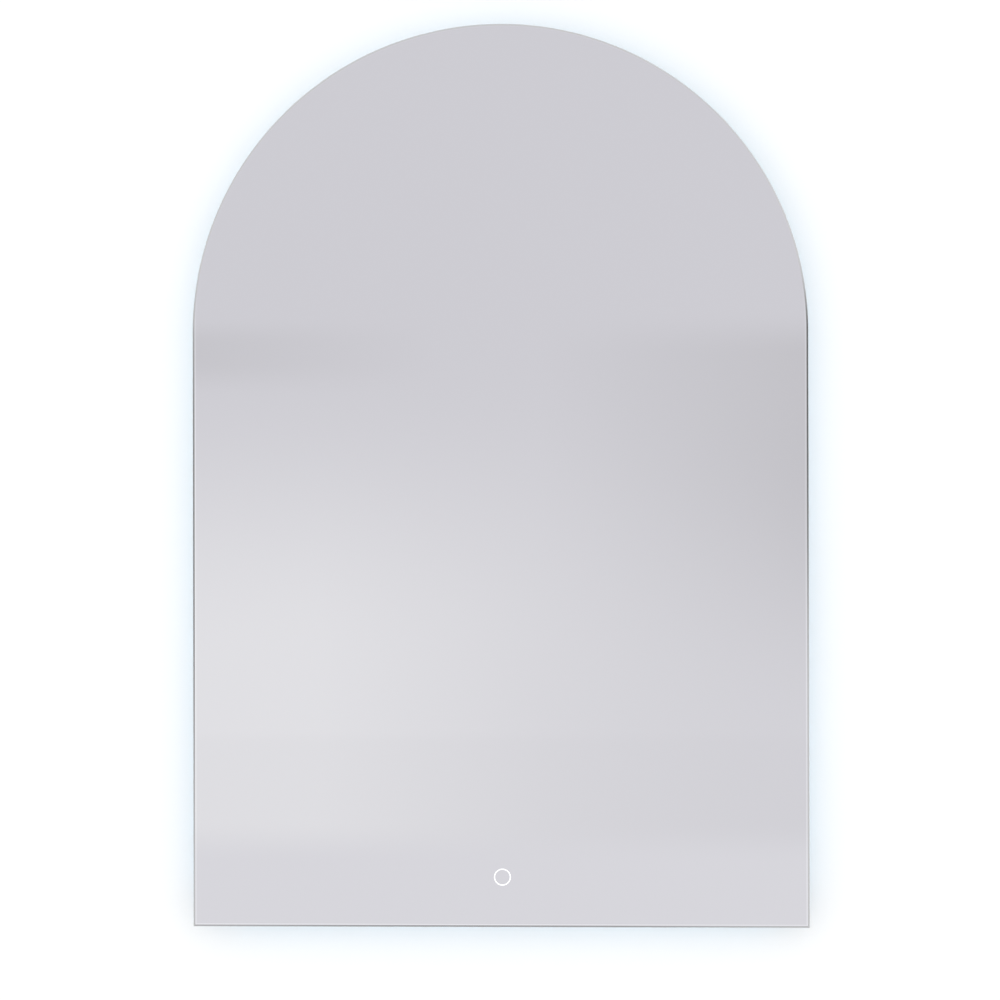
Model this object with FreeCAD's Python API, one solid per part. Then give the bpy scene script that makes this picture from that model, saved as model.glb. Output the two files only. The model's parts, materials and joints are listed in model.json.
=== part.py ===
import FreeCAD, Part

from collections import namedtuple
import math
import os

# Back-lit arched bathroom mirror that hangs on a wall rail.
# Frame: +X to the viewer's right, +Y into the wall, +Z up. The wall's face is the plane Y = 0.
# The origin is on the wall's face, midway between the two slots of the wall rail.
# The mirror is modelled hanging at rest on its rail. All sizes are millimetres.

Vector = FreeCAD.Vector
Case = namedtuple("Case", "left right bottom top height wall")

# ---------------------------------------------------------------- driving dimensions
# Mirror pane
MIRROR_WIDTH = 750.0
MIRROR_HEIGHT = 1100.0
GLASS_THICKNESS = 5.0
ARRIS = 1.5                      # 45 degree polished edge, front and back
FILM_THICKNESS = 0.2             # silvering, paint and safety film behind the glass
HANGING_HEIGHT = 690.0           # wall fixings above the mirror's bottom edge

# Ring that marks the touch switch, left clear in the silvering
RING_DIAMETER = 19.4             # at the middle of the line
RING_LINE = 2.0
RING_OFFSET = 2.4                # to the right of the middle
ETCH_DEPTH = 0.2                 # into the glass's back

# Aluminium light-channel frame
FRAME_INSET = 28.0               # from the glass edge to the frame's outer face
FRAME_DEPTH = 26.0
FRAME_WALL = 1.4
CHANNEL_DEPTH = 7.0              # outer face to the web that carries the light strip
CHANNEL_WIDTH = 16.0             # clear width between the channel's walls
FRONT_FLANGE = 14.0              # width of the flange bonded to the glass
BACK_FLANGE = 22.0
BACK_FLANGE_THICKNESS = 1.6
LIP_HEIGHT = 4.0                 # inner lip of the back flange
NIB = 0.8                        # ribs that hold the diffuser, square in section
MITRE_GAP = 0.1
TAPE_THICKNESS = 1.0
TAPE_WIDTH = 12.0

# Light strip and diffuser
STRIP_WIDTH = 8.0
STRIP_THICKNESS = 0.3
GLUE_LINE = 0.1                  # strip to web
CHIP_PITCH = 1000.0 / 60
CHIP_LENGTH = 3.5
CHIP_WIDTH = 2.8
CHIP_HEIGHT = 0.7
STRIP_GAP = 10.0                 # between the strip's two ends, at the hole in the frame
DIFFUSER_THICKNESS = 1.2
SLIDE_CLEARANCE = 0.1            # diffuser in its grooves

# Interlocking rails
CLEAT_THICKNESS = 2.0
CLEAT_FLANGE = 24.0
CLEAT_HOOK = 10.0                # height of the hook above the step
CLEAT_CLEARANCE = 0.2            # between the two hooked rails
HOOK_TIP_GAP = 0.5
TIP_CHAMFER = 0.6
WALL_RAIL_LENGTH = 500.0
SLOT_SPACING = 400.0
SLOT_LENGTH = 16.0
FIXING_HOLE = 6.0                # slot width and hole diameter
HOLE_SPACING = 160.0
HANGER_END_GAP = 1.0             # rail end to the channel's web
HANGER_SCREW_PITCH = 12.0

# Screws
SCREW_DIAMETER = 4.0
SCREW_HEAD = 7.4
SCREW_HEAD_HEIGHT = 2.2
SCREW_END = 1.5                  # thread past the last sheet
SMALL_SCREW_DIAMETER = 2.9
SMALL_SCREW_HEAD = 5.4
SMALL_SCREW_HEAD_HEIGHT = 1.6
SCREW_HOLE_CLEARANCE = 0.1       # on the radius

# Corner keys
KEY_LEG = 60.0                   # from the frame's outer corner
KEY_THICKNESS = 2.0
KEY_CLEARANCE = 0.6
KEY_SCREW = 42.0                 # from the frame's outer corner

# Rubber feet that hold the lower edge off the wall
FOOT_DIAMETER = 14.0
FOOT_TAPER = 1.2
FOOT_FROM_CORNER = 105.0

# Equipment bracket, a folded steel strip across the frame
BRACKET_HEIGHT = 84.0
BRACKET_THICKNESS = 1.2
BRACKET_BEND = 1.0               # inside radius of its folds
BRACKET_DROP = 18.0              # below the wall rail
BRACKET_GAP = 3.0                # to the film
BRACKET_SIDE_GAP = 1.0           # to the frame's lips
BRACKET_TAB_GAP = 1.0            # tab end to the channel's web
BRACKET_SCREW_INSET = 12.0
RIB_HEIGHT = 1.5
RIB_WIDTH = 8.0
RIB_END_GAP = 14.0               # rib to the bracket's folds

# Moulded cases
CASE_CORNER = 4.0
CASE_INNER_CORNER = 2.0
BOSS_RADIUS = 3.2
BOSS_INSET = 4.6
BOSS_THREAD = 7.0                # length of a lid screw in its boss
BOSS_HOLE_END = 0.4              # hole past the screw's tip
LID_CHAMFER = 0.8
TONGUE_HEIGHT = 1.2
TONGUE_CLEARANCE = 0.15
EAR_LENGTH = 12.0
EAR_WIDTH = 22.0
EAR_THICKNESS = 3.0
EAR_CORNER = 3.0

# Light driver and its board
DRIVER_LENGTH = 160.0
DRIVER_WIDTH = 44.0
DRIVER_HEIGHT = 20.0
DRIVER_WALL = 2.0
DRIVER_LEFT = -205.0
BOARD_THICKNESS = 1.6
BOARD_STANDOFF = 3.0
BOARD_SIDE_GAP = 0.3
POST_DIAMETER = 5.0
POST_INSET = 25.0                # from the case's ends
TRANSFORMER_LENGTH = 24.0
TRANSFORMER_WIDTH = 20.0
TRANSFORMER_HEIGHT = 9.0
BOBBIN_OVERHANG = 3.0
BOBBIN_HEIGHT = 7.2
CAPACITOR_DIAMETER = 10.0
CAPACITOR_PITCH = 12.0
CAPACITOR_CHAMFER = 0.6
CHOKE_DIAMETER = 15.0
CHOKE_HOLE = 6.0
CHOKE_HEIGHT = 6.0
CONNECTOR_LENGTH = 8.0
CONNECTOR_WIDTH = 16.0
CONNECTOR_HEIGHT = 7.0
CONNECTOR_INSET = 12.0           # from the case's ends

# Terminal box for the supply cable
BOX_LENGTH = 92.0
BOX_WIDTH = 52.0
BOX_HEIGHT = 22.0
BOX_WALL = 2.0
BOX_LEFT = 55.0
TERMINAL_WAYS = 3
TERMINAL_PITCH = 10.0
TERMINAL_GROOVE = 1.4            # between two ways
TERMINAL_BASE = 3.0
TERMINAL_DEPTH = 18.0
TERMINAL_HEIGHT = 11.0
TERMINAL_WIRE = 4.2
TERMINAL_WELL = 4.6
TERMINAL_WELL_DEPTH = 5.0
TERMINAL_SCREW = 4.2
TERMINAL_SLOT = 0.9              # in the screw's head, as deep as it is wide
TERMINAL_SCREW_RECESS = 1.0      # screw head below the block's face

# Cable gland
GLAND_THREAD = 12.0
GLAND_BORE = 6.8
GLAND_ACROSS_FLATS = 15.0
GLAND_HEX_LENGTH = 5.0
GLAND_COLLET = 7.0               # length of the part that the cap nut squeezes
GLAND_CAP_LENGTH = 11.0
GLAND_CAP_GAP = 0.5
GLAND_CAP_BEVEL = 3.3
GLAND_CAP_END = 12.0             # diameter of its lower end
GLAND_LOCKNUT = 3.0
GLAND_THREAD_END = 1.0           # thread past the locknut
GLAND_SEAL_DIAMETER = 9.4
GLAND_SEAL_LENGTH = 5.0
GLAND_CLEARANCE = 0.1            # on the radius, thread and seal
GLAND_FROM_RIGHT = 20.0

# Touch switch module
SENSOR_WIDTH = 56.0
SENSOR_HEIGHT = 30.0
SENSOR_DEPTH = 9.0
SENSOR_WALL = 1.5
SENSOR_CORNER = 3.0
SENSOR_INNER_CORNER = 1.5
SENSOR_CLEARANCE = 4.0           # to the frame's front flange
SENSOR_BOARD = 1.2
SENSOR_POST = 4.0
GUIDE_RIM = 1.6
GUIDE_CHIP_GAP = 0.3
ELECTRODE_GAP = 1.0              # electrode to the light guide's inside
ELECTRODE_PAD = 1.0
ELECTRODE_STEM = 4.0
SENSOR_CHIPS = 4

# Demister pad
PAD_WIDTH = 400.0
PAD_THICKNESS = 0.4
PAD_DROP = 36.0                  # below the equipment bracket
PAD_LIFT = 24.0                  # above the touch switch
PAD_CORNER = 12.0
TRACK_WIDTH = 4.0
TRACK_THICKNESS = 0.15
TRACK_PITCH = 20.0
TRACK_MARGIN = 16.0
PAD_TERMINAL_LENGTH = 40.0
PAD_TERMINAL_WIDTH = 16.0
PAD_TERMINAL_HEIGHT = 5.5
PAD_TERMINAL_CORNER = 2.5
PAD_TERMINAL_EDGE = 1.0          # from the pad's top edge

# Holes that leads pass through
MAINS_HOLE = 5.2
SENSOR_HOLE = 3.2
DEMISTER_HOLE = 3.7
LIGHT_HOLE = 3.7
HOLE_RISE = 10.0                 # holes and gland above the face that carries the cases
MAINS_HOLE_RISE = 8.0            # above the bracket's middle at the terminal box, below it at the driver
DEMISTER_HOLE_DEPTH = 4.0
LIGHT_ENTRY_REACH = 35.0         # from the touch switch to the hole in the frame's web
BUSH_CLEARANCE = 0.1             # bush in the frame's web
BUSH_NECK = 6.0
BUSH_FLANGE = 8.0
BUSH_LIP = 1.0

# ---------------------------------------------------------------- derived planes and lines
HALF_WIDTH = MIRROR_WIDTH / 2
BOTTOM_Z = -HANGING_HEIGHT
SPRING_Z = BOTTOM_Z + MIRROR_HEIGHT - HALF_WIDTH      # where the arch begins

# Layers from the wall towards the viewer, so Y falls
STANDOFF = 4 * CLEAT_THICKNESS + 3 * CLEAT_CLEARANCE  # two rails, hooked together
FRAME_BACK_Y = -STANDOFF
FRAME_FRONT_Y = FRAME_BACK_Y - FRAME_DEPTH
FILM_BACK_Y = FRAME_FRONT_Y - TAPE_THICKNESS
GLASS_BACK_Y = FILM_BACK_Y - FILM_THICKNESS

FRAME_HALF = HALF_WIDTH - FRAME_INSET                 # frame's outer face, left and right
FRAME_BOTTOM_Z = BOTTOM_Z + FRAME_INSET
WEB_INSIDE = CHANNEL_DEPTH + FRAME_WALL
CHANNEL_FRONT_Y = FRAME_FRONT_Y + FRAME_WALL
CHANNEL_BACK_Y = CHANNEL_FRONT_Y + CHANNEL_WIDTH
CHANNEL_MID_Y = (CHANNEL_FRONT_Y + CHANNEL_BACK_Y) / 2
GROOVE_WIDTH = DIFFUSER_THICKNESS + 2 * SLIDE_CLEARANCE
FLANGE_INSIDE_Y = FRAME_BACK_Y - BACK_FLANGE_THICKNESS
SCREW_LINE = (WEB_INSIDE + BACK_FLANGE - FRAME_WALL) / 2
STRIP_INSIDE = CHANNEL_DEPTH - GLUE_LINE
STRIP_OUTSIDE = STRIP_INSIDE - STRIP_THICKNESS

WALL_RAIL_TOP_Z = CLEAT_FLANGE / 2 + CLEAT_THICKNESS + CLEAT_HOOK
HANGER_TOP_Z = WALL_RAIL_TOP_Z + CLEAT_THICKNESS + CLEAT_FLANGE
HANGER_MID_Z = HANGER_TOP_Z - CLEAT_FLANGE / 2
HANGER_BACK_Y = FRAME_BACK_Y + CLEAT_THICKNESS

BRACKET_TOP_Z = -CLEAT_FLANGE / 2 - BRACKET_DROP
BRACKET_BOTTOM_Z = BRACKET_TOP_Z - BRACKET_HEIGHT
BRACKET_MID_Z = (BRACKET_TOP_Z + BRACKET_BOTTOM_Z) / 2
BRACKET_FRONT_Y = FILM_BACK_Y + BRACKET_GAP
BRACKET_FACE_Y = BRACKET_FRONT_Y + BRACKET_THICKNESS  # the face that carries the cases
BRACKET_TAB_Y = FRAME_BACK_Y + BRACKET_THICKNESS
HOLE_Y = BRACKET_FACE_Y + HOLE_RISE

DRIVER = Case(
    DRIVER_LEFT, DRIVER_LEFT + DRIVER_LENGTH,
    BRACKET_MID_Z - DRIVER_WIDTH / 2, BRACKET_MID_Z + DRIVER_WIDTH / 2, DRIVER_HEIGHT, DRIVER_WALL)
TERMINAL = Case(
    BOX_LEFT, BOX_LEFT + BOX_LENGTH,
    BRACKET_MID_Z - BOX_WIDTH / 2, BRACKET_MID_Z + BOX_WIDTH / 2, BOX_HEIGHT, BOX_WALL)
DRIVER_BOARD_Y = BRACKET_FACE_Y + DRIVER_WALL + BOARD_STANDOFF
DRIVER_PARTS_Y = DRIVER_BOARD_Y + BOARD_THICKNESS

GLAND_X = TERMINAL.right - GLAND_FROM_RIGHT
GLAND_TOP_Z = TERMINAL.bottom + BOX_WALL + GLAND_LOCKNUT + GLAND_THREAD_END
GLAND_NUT_Z = TERMINAL.bottom - GLAND_HEX_LENGTH
GLAND_COLLET_Z = GLAND_NUT_Z - GLAND_COLLET

RING_X = RING_OFFSET
RING_Z = FRAME_BOTTOM_Z + FRONT_FLANGE + SENSOR_CLEARANCE + SENSOR_HEIGHT / 2
RING_OUTER = (RING_DIAMETER + RING_LINE) / 2
RING_INNER = (RING_DIAMETER - RING_LINE) / 2
SENSOR_LEFT = RING_X - SENSOR_WIDTH / 2
SENSOR_RIGHT = RING_X + SENSOR_WIDTH / 2
SENSOR_BACK_Y = FILM_BACK_Y + SENSOR_DEPTH
SENSOR_BOARD_Y = (FILM_BACK_Y + SENSOR_BACK_Y) / 2    # board's face towards the glass
GUIDE_INNER = RING_INNER - GUIDE_RIM
GUIDE_OUTER = RING_OUTER + GUIDE_RIM

PAD_HALF = PAD_WIDTH / 2
PAD_TOP_Z = BRACKET_BOTTOM_Z - PAD_DROP
PAD_BOTTOM_Z = RING_Z + SENSOR_HEIGHT / 2 + PAD_LIFT
PAD_BACK_Y = FILM_BACK_Y + PAD_THICKNESS
TRACK_BACK_Y = PAD_BACK_Y + TRACK_THICKNESS
PAD_TERMINAL_RIGHT = PAD_HALF - TRACK_MARGIN
PAD_TERMINAL_TOP_Z = PAD_TOP_Z - PAD_TERMINAL_EDGE

# The light strip's two ends meet over a hole in the frame, midway between two chips of the bottom strip
STRIP_HALF = FRAME_HALF - STRIP_OUTSIDE
BOTTOM_CHIPS = round(2 * STRIP_HALF / CHIP_PITCH)
BOTTOM_CHIP_PITCH = 2 * STRIP_HALF / BOTTOM_CHIPS
LIGHT_ENTRY_STEP = round((SENSOR_RIGHT + LIGHT_ENTRY_REACH + STRIP_HALF) / BOTTOM_CHIP_PITCH)
LIGHT_ENTRY_X = LIGHT_ENTRY_STEP * BOTTOM_CHIP_PITCH - STRIP_HALF


# ---------------------------------------------------------------- screw places, as (x, z)
def both_sides(places):
    return places + [(-x, z) for x, z in places]


def boss_places(case):
    upper_left = (case.left + BOSS_INSET, case.top - BOSS_INSET)
    lower_right = (case.right - BOSS_INSET, case.bottom + BOSS_INSET)
    return [upper_left, lower_right]


def ear_places(case):
    middle = (case.bottom + case.top) / 2
    return [(case.left - EAR_LENGTH / 2, middle), (case.right + EAR_LENGTH / 2, middle)]


HANGER_SCREWS = both_sides([
    (FRAME_HALF - SCREW_LINE, HANGER_MID_Z + HANGER_SCREW_PITCH / 2),
    (FRAME_HALF - SCREW_LINE, HANGER_MID_Z - HANGER_SCREW_PITCH / 2),
])
BRACKET_SCREWS = both_sides([
    (FRAME_HALF - SCREW_LINE, BRACKET_TOP_Z - BRACKET_SCREW_INSET),
    (FRAME_HALF - SCREW_LINE, BRACKET_BOTTOM_Z + BRACKET_SCREW_INSET),
])
KEY_SCREWS = both_sides([
    (FRAME_HALF - SCREW_LINE, FRAME_BOTTOM_Z + KEY_SCREW),
    (FRAME_HALF - KEY_SCREW, FRAME_BOTTOM_Z + SCREW_LINE),
])


# ---------------------------------------------------------------- small tools
def box(x_low, x_high, y_low, y_high, z_low, z_high):
    """Block between two corners."""
    corner = Vector(x_low, y_low, z_low)
    return Part.makeBox(x_high - x_low, y_high - y_low, z_high - z_low, corner)


def runs_along(edge, direction):
    """True for a straight edge parallel to the direction."""
    if not isinstance(edge.Curve, Part.Line):
        return False
    return edge.tangentAt(edge.FirstParameter).cross(direction).Length < 1e-6


def rounded_box(x_low, x_high, y_low, y_high, z_low, z_high, radius):
    """Block whose four edges along Y are rounded."""
    block = box(x_low, x_high, y_low, y_high, z_low, z_high)
    return block.makeFillet(radius, [edge for edge in block.Edges if runs_along(edge, Vector(0, 1, 0))])


def edges_at(shape, y):
    """Edges that lie in a plane of constant Y."""
    boxes = [(edge, edge.BoundBox) for edge in shape.Edges]
    return [edge for edge, bounds in boxes if bounds.YLength < 1e-6 and abs(bounds.YMin - y) < 1e-6]


def along_x(x_low, x_high, y, z, radius):
    """Cylinder parallel to X between two planes."""
    return Part.makeCylinder(radius, x_high - x_low, Vector(x_low, y, z), Vector(1, 0, 0))


def along_y(x, z, radius, y_low, y_high):
    """Cylinder parallel to Y between two planes."""
    return Part.makeCylinder(radius, y_high - y_low, Vector(x, y_low, z), Vector(0, 1, 0))


def along_z(x, y, radius, z_low, z_high):
    """Cylinder parallel to Z between two planes."""
    return Part.makeCylinder(radius, z_high - z_low, Vector(x, y, z_low))


def join(shapes):
    """One solid from pieces that touch or overlap."""
    return shapes[0].multiFuse(shapes[1:]).removeSplitter()


def mirrored(shape):
    """The same shape on the other side of the middle plane."""
    return shape.mirror(Vector(0, 0, 0), Vector(1, 0, 0))


def polygon_face(points):
    return Part.Face(Part.makePolygon(points + [points[0]]))


def turned(profile, centre, axis):
    """Solid of revolution. The profile is a list of (radius, distance along the axis)."""
    corners = [centre + Vector(radius, 0, 0) + axis * along for radius, along in profile]
    return polygon_face(corners).revolve(centre, axis, 360)


def hexagon(x, y, z_top, across_flats, length):
    """Hexagonal prism that hangs down, two of its flats facing the glass and the wall."""
    reach = across_flats / math.sqrt(3)
    turns = [math.radians(60 * side) for side in range(6)]
    corners = [Vector(x + reach * math.cos(turn), y + reach * math.sin(turn), z_top) for turn in turns]
    return polygon_face(corners).extrude(Vector(0, 0, -length))


def outline(inset, y):
    """Closed arch outline at a depth, a distance inside the glass edge."""
    radius = HALF_WIDTH - inset
    low = BOTTOM_Z + inset
    right_foot = Vector(radius, y, low)
    left_foot = Vector(-radius, y, low)
    right_spring = Vector(radius, y, SPRING_Z)
    left_spring = Vector(-radius, y, SPRING_Z)
    arch = Part.Arc(right_spring, Vector(0, y, SPRING_Z + radius), left_spring).toShape()
    return Part.Wire([
        Part.makeLine(left_foot, right_foot),
        Part.makeLine(right_foot, right_spring),
        arch,
        Part.makeLine(left_spring, left_foot),
    ])


def arch_plate(inset, y_back, thickness):
    """Arched plate whose back face is at y_back and which reaches towards the viewer."""
    return Part.Face(outline(inset, y_back)).extrude(Vector(0, -thickness, 0))


def arch_band(outer_inset, inner_inset, y_back, thickness):
    """Band that follows the whole arch outline."""
    return arch_plate(outer_inset, y_back, thickness).cut(arch_plate(inner_inset, y_back, thickness))


def mitre_tool(above):
    """Wedge that trims the right corner to 45 degrees, above or below the mitre."""
    reach = BACK_FLANGE + FRAME_INSET
    half_gap = MITRE_GAP / 2 * math.sqrt(2)
    shift = -half_gap if above else half_gap
    y = FRAME_FRONT_Y - 1
    outer = Vector(FRAME_HALF + reach, y, FRAME_BOTTOM_Z - reach + shift)
    inner = Vector(FRAME_HALF - reach, y, FRAME_BOTTOM_Z + reach + shift)
    corner = Vector(outer.x, y, inner.z) if above else Vector(inner.x, y, outer.z)
    return polygon_face([outer, inner, corner]).extrude(Vector(0, FRAME_DEPTH + 2, 0))


def follow_arch(section):
    """Sweeps a section up the right leg, round the arch and down the left leg.

    The section is a list of (distance inside the frame's outer face, y)."""
    face = polygon_face([Vector(FRAME_HALF - inward, y, SPRING_Z) for inward, y in section])
    leg = face.extrude(Vector(0, 0, FRAME_BOTTOM_Z - SPRING_Z))
    arch = face.revolve(Vector(0, 0, SPRING_Z), Vector(0, -1, 0), 180)
    whole = join([leg, arch, mirrored(leg)])
    return whole.cut([mitre_tool(False), mirrored(mitre_tool(False))])


def follow_bottom(section):
    """Extrudes a section along the frame's bottom, mitred at both ends."""
    start = Vector(-FRAME_HALF, 0, FRAME_BOTTOM_Z)
    face = polygon_face([start + Vector(0, y, inward) for inward, y in section])
    bar = face.extrude(Vector(2 * FRAME_HALF, 0, 0))
    return bar.cut([mitre_tool(True), mirrored(mitre_tool(True))])


# ---------------------------------------------------------------- screws
def screw(x, y_seat, z, diameter, head, head_height, length):
    """Screw driven towards the viewer, its head seated at y_seat."""
    return turned([
        (0, y_seat - length),
        (diameter / 2, y_seat - length),
        (diameter / 2, y_seat),
        (head / 2, y_seat),
        (head / 2, y_seat + head_height),
        (0, y_seat + head_height),
    ], Vector(x, 0, z), Vector(0, 1, 0))


def sheet_screws(places, y_seat, grip):
    """Frame screws through sheets of a total thickness."""
    return [
        screw(x, y_seat, z, SCREW_DIAMETER, SCREW_HEAD, SCREW_HEAD_HEIGHT, grip + SCREW_END)
        for x, z in places
    ]


def small_screws(places, y_seat, length):
    return [
        screw(x, y_seat, z, SMALL_SCREW_DIAMETER, SMALL_SCREW_HEAD, SMALL_SCREW_HEAD_HEIGHT, length)
        for x, z in places
    ]


def screw_holes(places, y_low, y_high, diameter=SCREW_DIAMETER):
    """Clearance holes for screws."""
    radius = diameter / 2 + SCREW_HOLE_CLEARANCE
    return [along_y(x, z, radius, y_low, y_high) for x, z in places]


# ---------------------------------------------------------------- pane, film and tape
def mirror_glass():
    pane = arch_plate(0, GLASS_BACK_Y, GLASS_THICKNESS)
    front = GLASS_BACK_Y - GLASS_THICKNESS
    pane = pane.makeChamfer(ARRIS, edges_at(pane, GLASS_BACK_Y) + edges_at(pane, front))
    return pane.cut(ring_tool(GLASS_BACK_Y - ETCH_DEPTH, GLASS_BACK_Y, 0))


def ring_tool(y_low, y_high, clearance):
    """Ring of the touch mark, narrowed on both sides by a clearance."""
    outside = along_y(RING_X, RING_Z, RING_OUTER - clearance, y_low, y_high)
    return outside.cut(along_y(RING_X, RING_Z, RING_INNER + clearance, y_low, y_high))


def backing_film():
    """Film cut through at the ring, so that a loose disc of it stays inside the ring."""
    film = arch_plate(ARRIS, FILM_BACK_Y, FILM_THICKNESS)
    return film.cut(ring_tool(GLASS_BACK_Y, FILM_BACK_Y, 0))


def mounting_tape():
    outer = FRAME_INSET + (FRONT_FLANGE - TAPE_WIDTH) / 2
    return arch_band(outer, outer + TAPE_WIDTH, FRAME_FRONT_Y, TAPE_THICKNESS)


# ---------------------------------------------------------------- frame
def frame_section():
    """Light-channel extrusion as (distance inside its outer face, y).

    An outward-facing channel with a grooved mouth for the diffuser, a front flange for the glass,
    and a lipped back flange for the rails and keys."""
    groove_end = NIB + GROOVE_WIDTH
    nib_end = groove_end + NIB
    back_nib_y = CHANNEL_BACK_Y - NIB
    front_nib_y = CHANNEL_FRONT_Y + NIB
    lip_inside = BACK_FLANGE - FRAME_WALL
    return [
        (0, FRAME_FRONT_Y),
        (FRONT_FLANGE, FRAME_FRONT_Y),
        (FRONT_FLANGE, CHANNEL_FRONT_Y),
        (WEB_INSIDE, CHANNEL_FRONT_Y),
        (WEB_INSIDE, FLANGE_INSIDE_Y),
        (lip_inside, FLANGE_INSIDE_Y),
        (lip_inside, FLANGE_INSIDE_Y - LIP_HEIGHT),
        (BACK_FLANGE, FLANGE_INSIDE_Y - LIP_HEIGHT),
        (BACK_FLANGE, FRAME_BACK_Y),
        (CHANNEL_DEPTH, FRAME_BACK_Y),
        (CHANNEL_DEPTH, CHANNEL_BACK_Y + FRAME_WALL),
        (0, CHANNEL_BACK_Y + FRAME_WALL),
        (0, back_nib_y),
        (NIB, back_nib_y),
        (NIB, CHANNEL_BACK_Y),
        (groove_end, CHANNEL_BACK_Y),
        (groove_end, back_nib_y),
        (nib_end, back_nib_y),
        (nib_end, CHANNEL_BACK_Y),
        (CHANNEL_DEPTH, CHANNEL_BACK_Y),
        (CHANNEL_DEPTH, CHANNEL_FRONT_Y),
        (nib_end, CHANNEL_FRONT_Y),
        (nib_end, front_nib_y),
        (groove_end, front_nib_y),
        (groove_end, CHANNEL_FRONT_Y),
        (NIB, CHANNEL_FRONT_Y),
        (NIB, front_nib_y),
        (0, front_nib_y),
    ]


def frame_arch():
    places = HANGER_SCREWS + BRACKET_SCREWS + KEY_SCREWS
    return follow_arch(frame_section()).cut(screw_holes(places, FLANGE_INSIDE_Y, FRAME_BACK_Y))


def frame_bottom():
    bar = follow_bottom(frame_section())
    web_top = FRAME_BOTTOM_Z + WEB_INSIDE
    entry_radius = BUSH_NECK / 2 + BUSH_CLEARANCE
    entry = along_z(LIGHT_ENTRY_X, CHANNEL_MID_Y, entry_radius, web_top - FRAME_WALL, web_top)
    return bar.cut(screw_holes(KEY_SCREWS, FLANGE_INSIDE_Y, FRAME_BACK_Y) + [entry])


def corner_key():
    """L-shaped plate behind the right-hand mitre, held in the back flange."""
    back = FLANGE_INSIDE_Y
    front = back - KEY_THICKNESS
    near = WEB_INSIDE + KEY_CLEARANCE
    far = BACK_FLANGE - FRAME_WALL - KEY_CLEARANCE
    corners = [(near, near), (KEY_LEG, near), (KEY_LEG, far), (far, far), (far, KEY_LEG), (near, KEY_LEG)]
    points = [Vector(FRAME_HALF - inward, front, FRAME_BOTTOM_Z + up) for inward, up in corners]
    plate = polygon_face(points).extrude(Vector(0, KEY_THICKNESS, 0))
    return plate.cut(screw_holes(KEY_SCREWS, front, back))


def corner_screws():
    grip = BACK_FLANGE_THICKNESS + KEY_THICKNESS
    return Part.makeCompound(sheet_screws(KEY_SCREWS, FRAME_BACK_Y, grip))


def wall_feet():
    """Tapered rubber feet on the bottom rail, from the frame's back to the wall."""
    base = FOOT_DIAMETER / 2
    profile = [(0, FRAME_BACK_Y), (base, FRAME_BACK_Y), (base - FOOT_TAPER, 0), (0, 0)]
    places = both_sides([(FRAME_HALF - FOOT_FROM_CORNER, FRAME_BOTTOM_Z + SCREW_LINE)])
    return Part.makeCompound([turned(profile, Vector(x, 0, z), Vector(0, 1, 0)) for x, z in places])


# ---------------------------------------------------------------- light strip and diffuser
def diffuser_section():
    outer = NIB + SLIDE_CLEARANCE
    inner = outer + DIFFUSER_THICKNESS
    front = CHANNEL_FRONT_Y + SLIDE_CLEARANCE
    back = CHANNEL_BACK_Y - SLIDE_CLEARANCE
    return [(outer, front), (inner, front), (inner, back), (outer, back)]


def led_strip():
    """Flexible strip round the whole web, with a gap between its two ends."""
    back = CHANNEL_MID_Y + STRIP_WIDTH / 2
    band = arch_band(FRAME_INSET + STRIP_OUTSIDE, FRAME_INSET + STRIP_INSIDE, back, STRIP_WIDTH)
    gap = box(
        LIGHT_ENTRY_X - STRIP_GAP / 2, LIGHT_ENTRY_X + STRIP_GAP / 2,
        back - STRIP_WIDTH, back, FRAME_BOTTOM_Z, FRAME_BOTTOM_Z + WEB_INSIDE)
    return band.cut(gap)


def led_chips():
    """Light chips on the strip's outer face, evenly pitched along each run."""
    low = FRAME_BOTTOM_Z + STRIP_OUTSIDE
    front = CHANNEL_MID_Y - CHIP_WIDTH / 2
    back = CHANNEL_MID_Y + CHIP_WIDTH / 2
    half = CHIP_LENGTH / 2
    side_chip = box(STRIP_HALF, STRIP_HALF + CHIP_HEIGHT, front, back, -half, half)
    chips = []
    leg_length = SPRING_Z - low
    leg_chips = round(leg_length / CHIP_PITCH)
    for index in range(leg_chips):
        chip = side_chip.translated(Vector(0, 0, low + (index + 0.5) * leg_length / leg_chips))
        chips += [chip, mirrored(chip)]
    arch_chips = round(math.pi * STRIP_HALF / CHIP_PITCH)
    for index in range(arch_chips):
        chip = side_chip.rotated(Vector(0, 0, 0), Vector(0, -1, 0), (index + 0.5) * 180 / arch_chips)
        chips.append(chip.translated(Vector(0, 0, SPRING_Z)))
    for index in range(BOTTOM_CHIPS):
        x = (index + 0.5) * BOTTOM_CHIP_PITCH - STRIP_HALF
        chips.append(box(x - half, x + half, front, back, low - CHIP_HEIGHT, low))
    return Part.makeCompound(chips)


# ---------------------------------------------------------------- interlocking rails
def cleat(length, hook, base_y, base_z, turn):
    """Hooked rail: a flange, a step off it and a hook, in one section.

    turn is -1 for the rail on the wall, whose hook points up, and 1 for the one that hangs on it."""
    near = 2 * (CLEAT_THICKNESS + CLEAT_CLEARANCE)
    far = near + CLEAT_THICKNESS
    step = CLEAT_FLANGE + CLEAT_THICKNESS
    tip = step + hook
    section = [
        (0, 0),
        (CLEAT_THICKNESS, 0),
        (CLEAT_THICKNESS, CLEAT_FLANGE),
        (far, CLEAT_FLANGE),
        (far, tip - TIP_CHAMFER),
        (far - TIP_CHAMFER, tip),
        (near + TIP_CHAMFER, tip),
        (near, tip - TIP_CHAMFER),
        (near, step),
        (0, step),
    ]
    corners = [Vector(-length / 2, base_y + turn * out, base_z - turn * up) for out, up in section]
    return polygon_face(corners).extrude(Vector(length, 0, 0))


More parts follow.
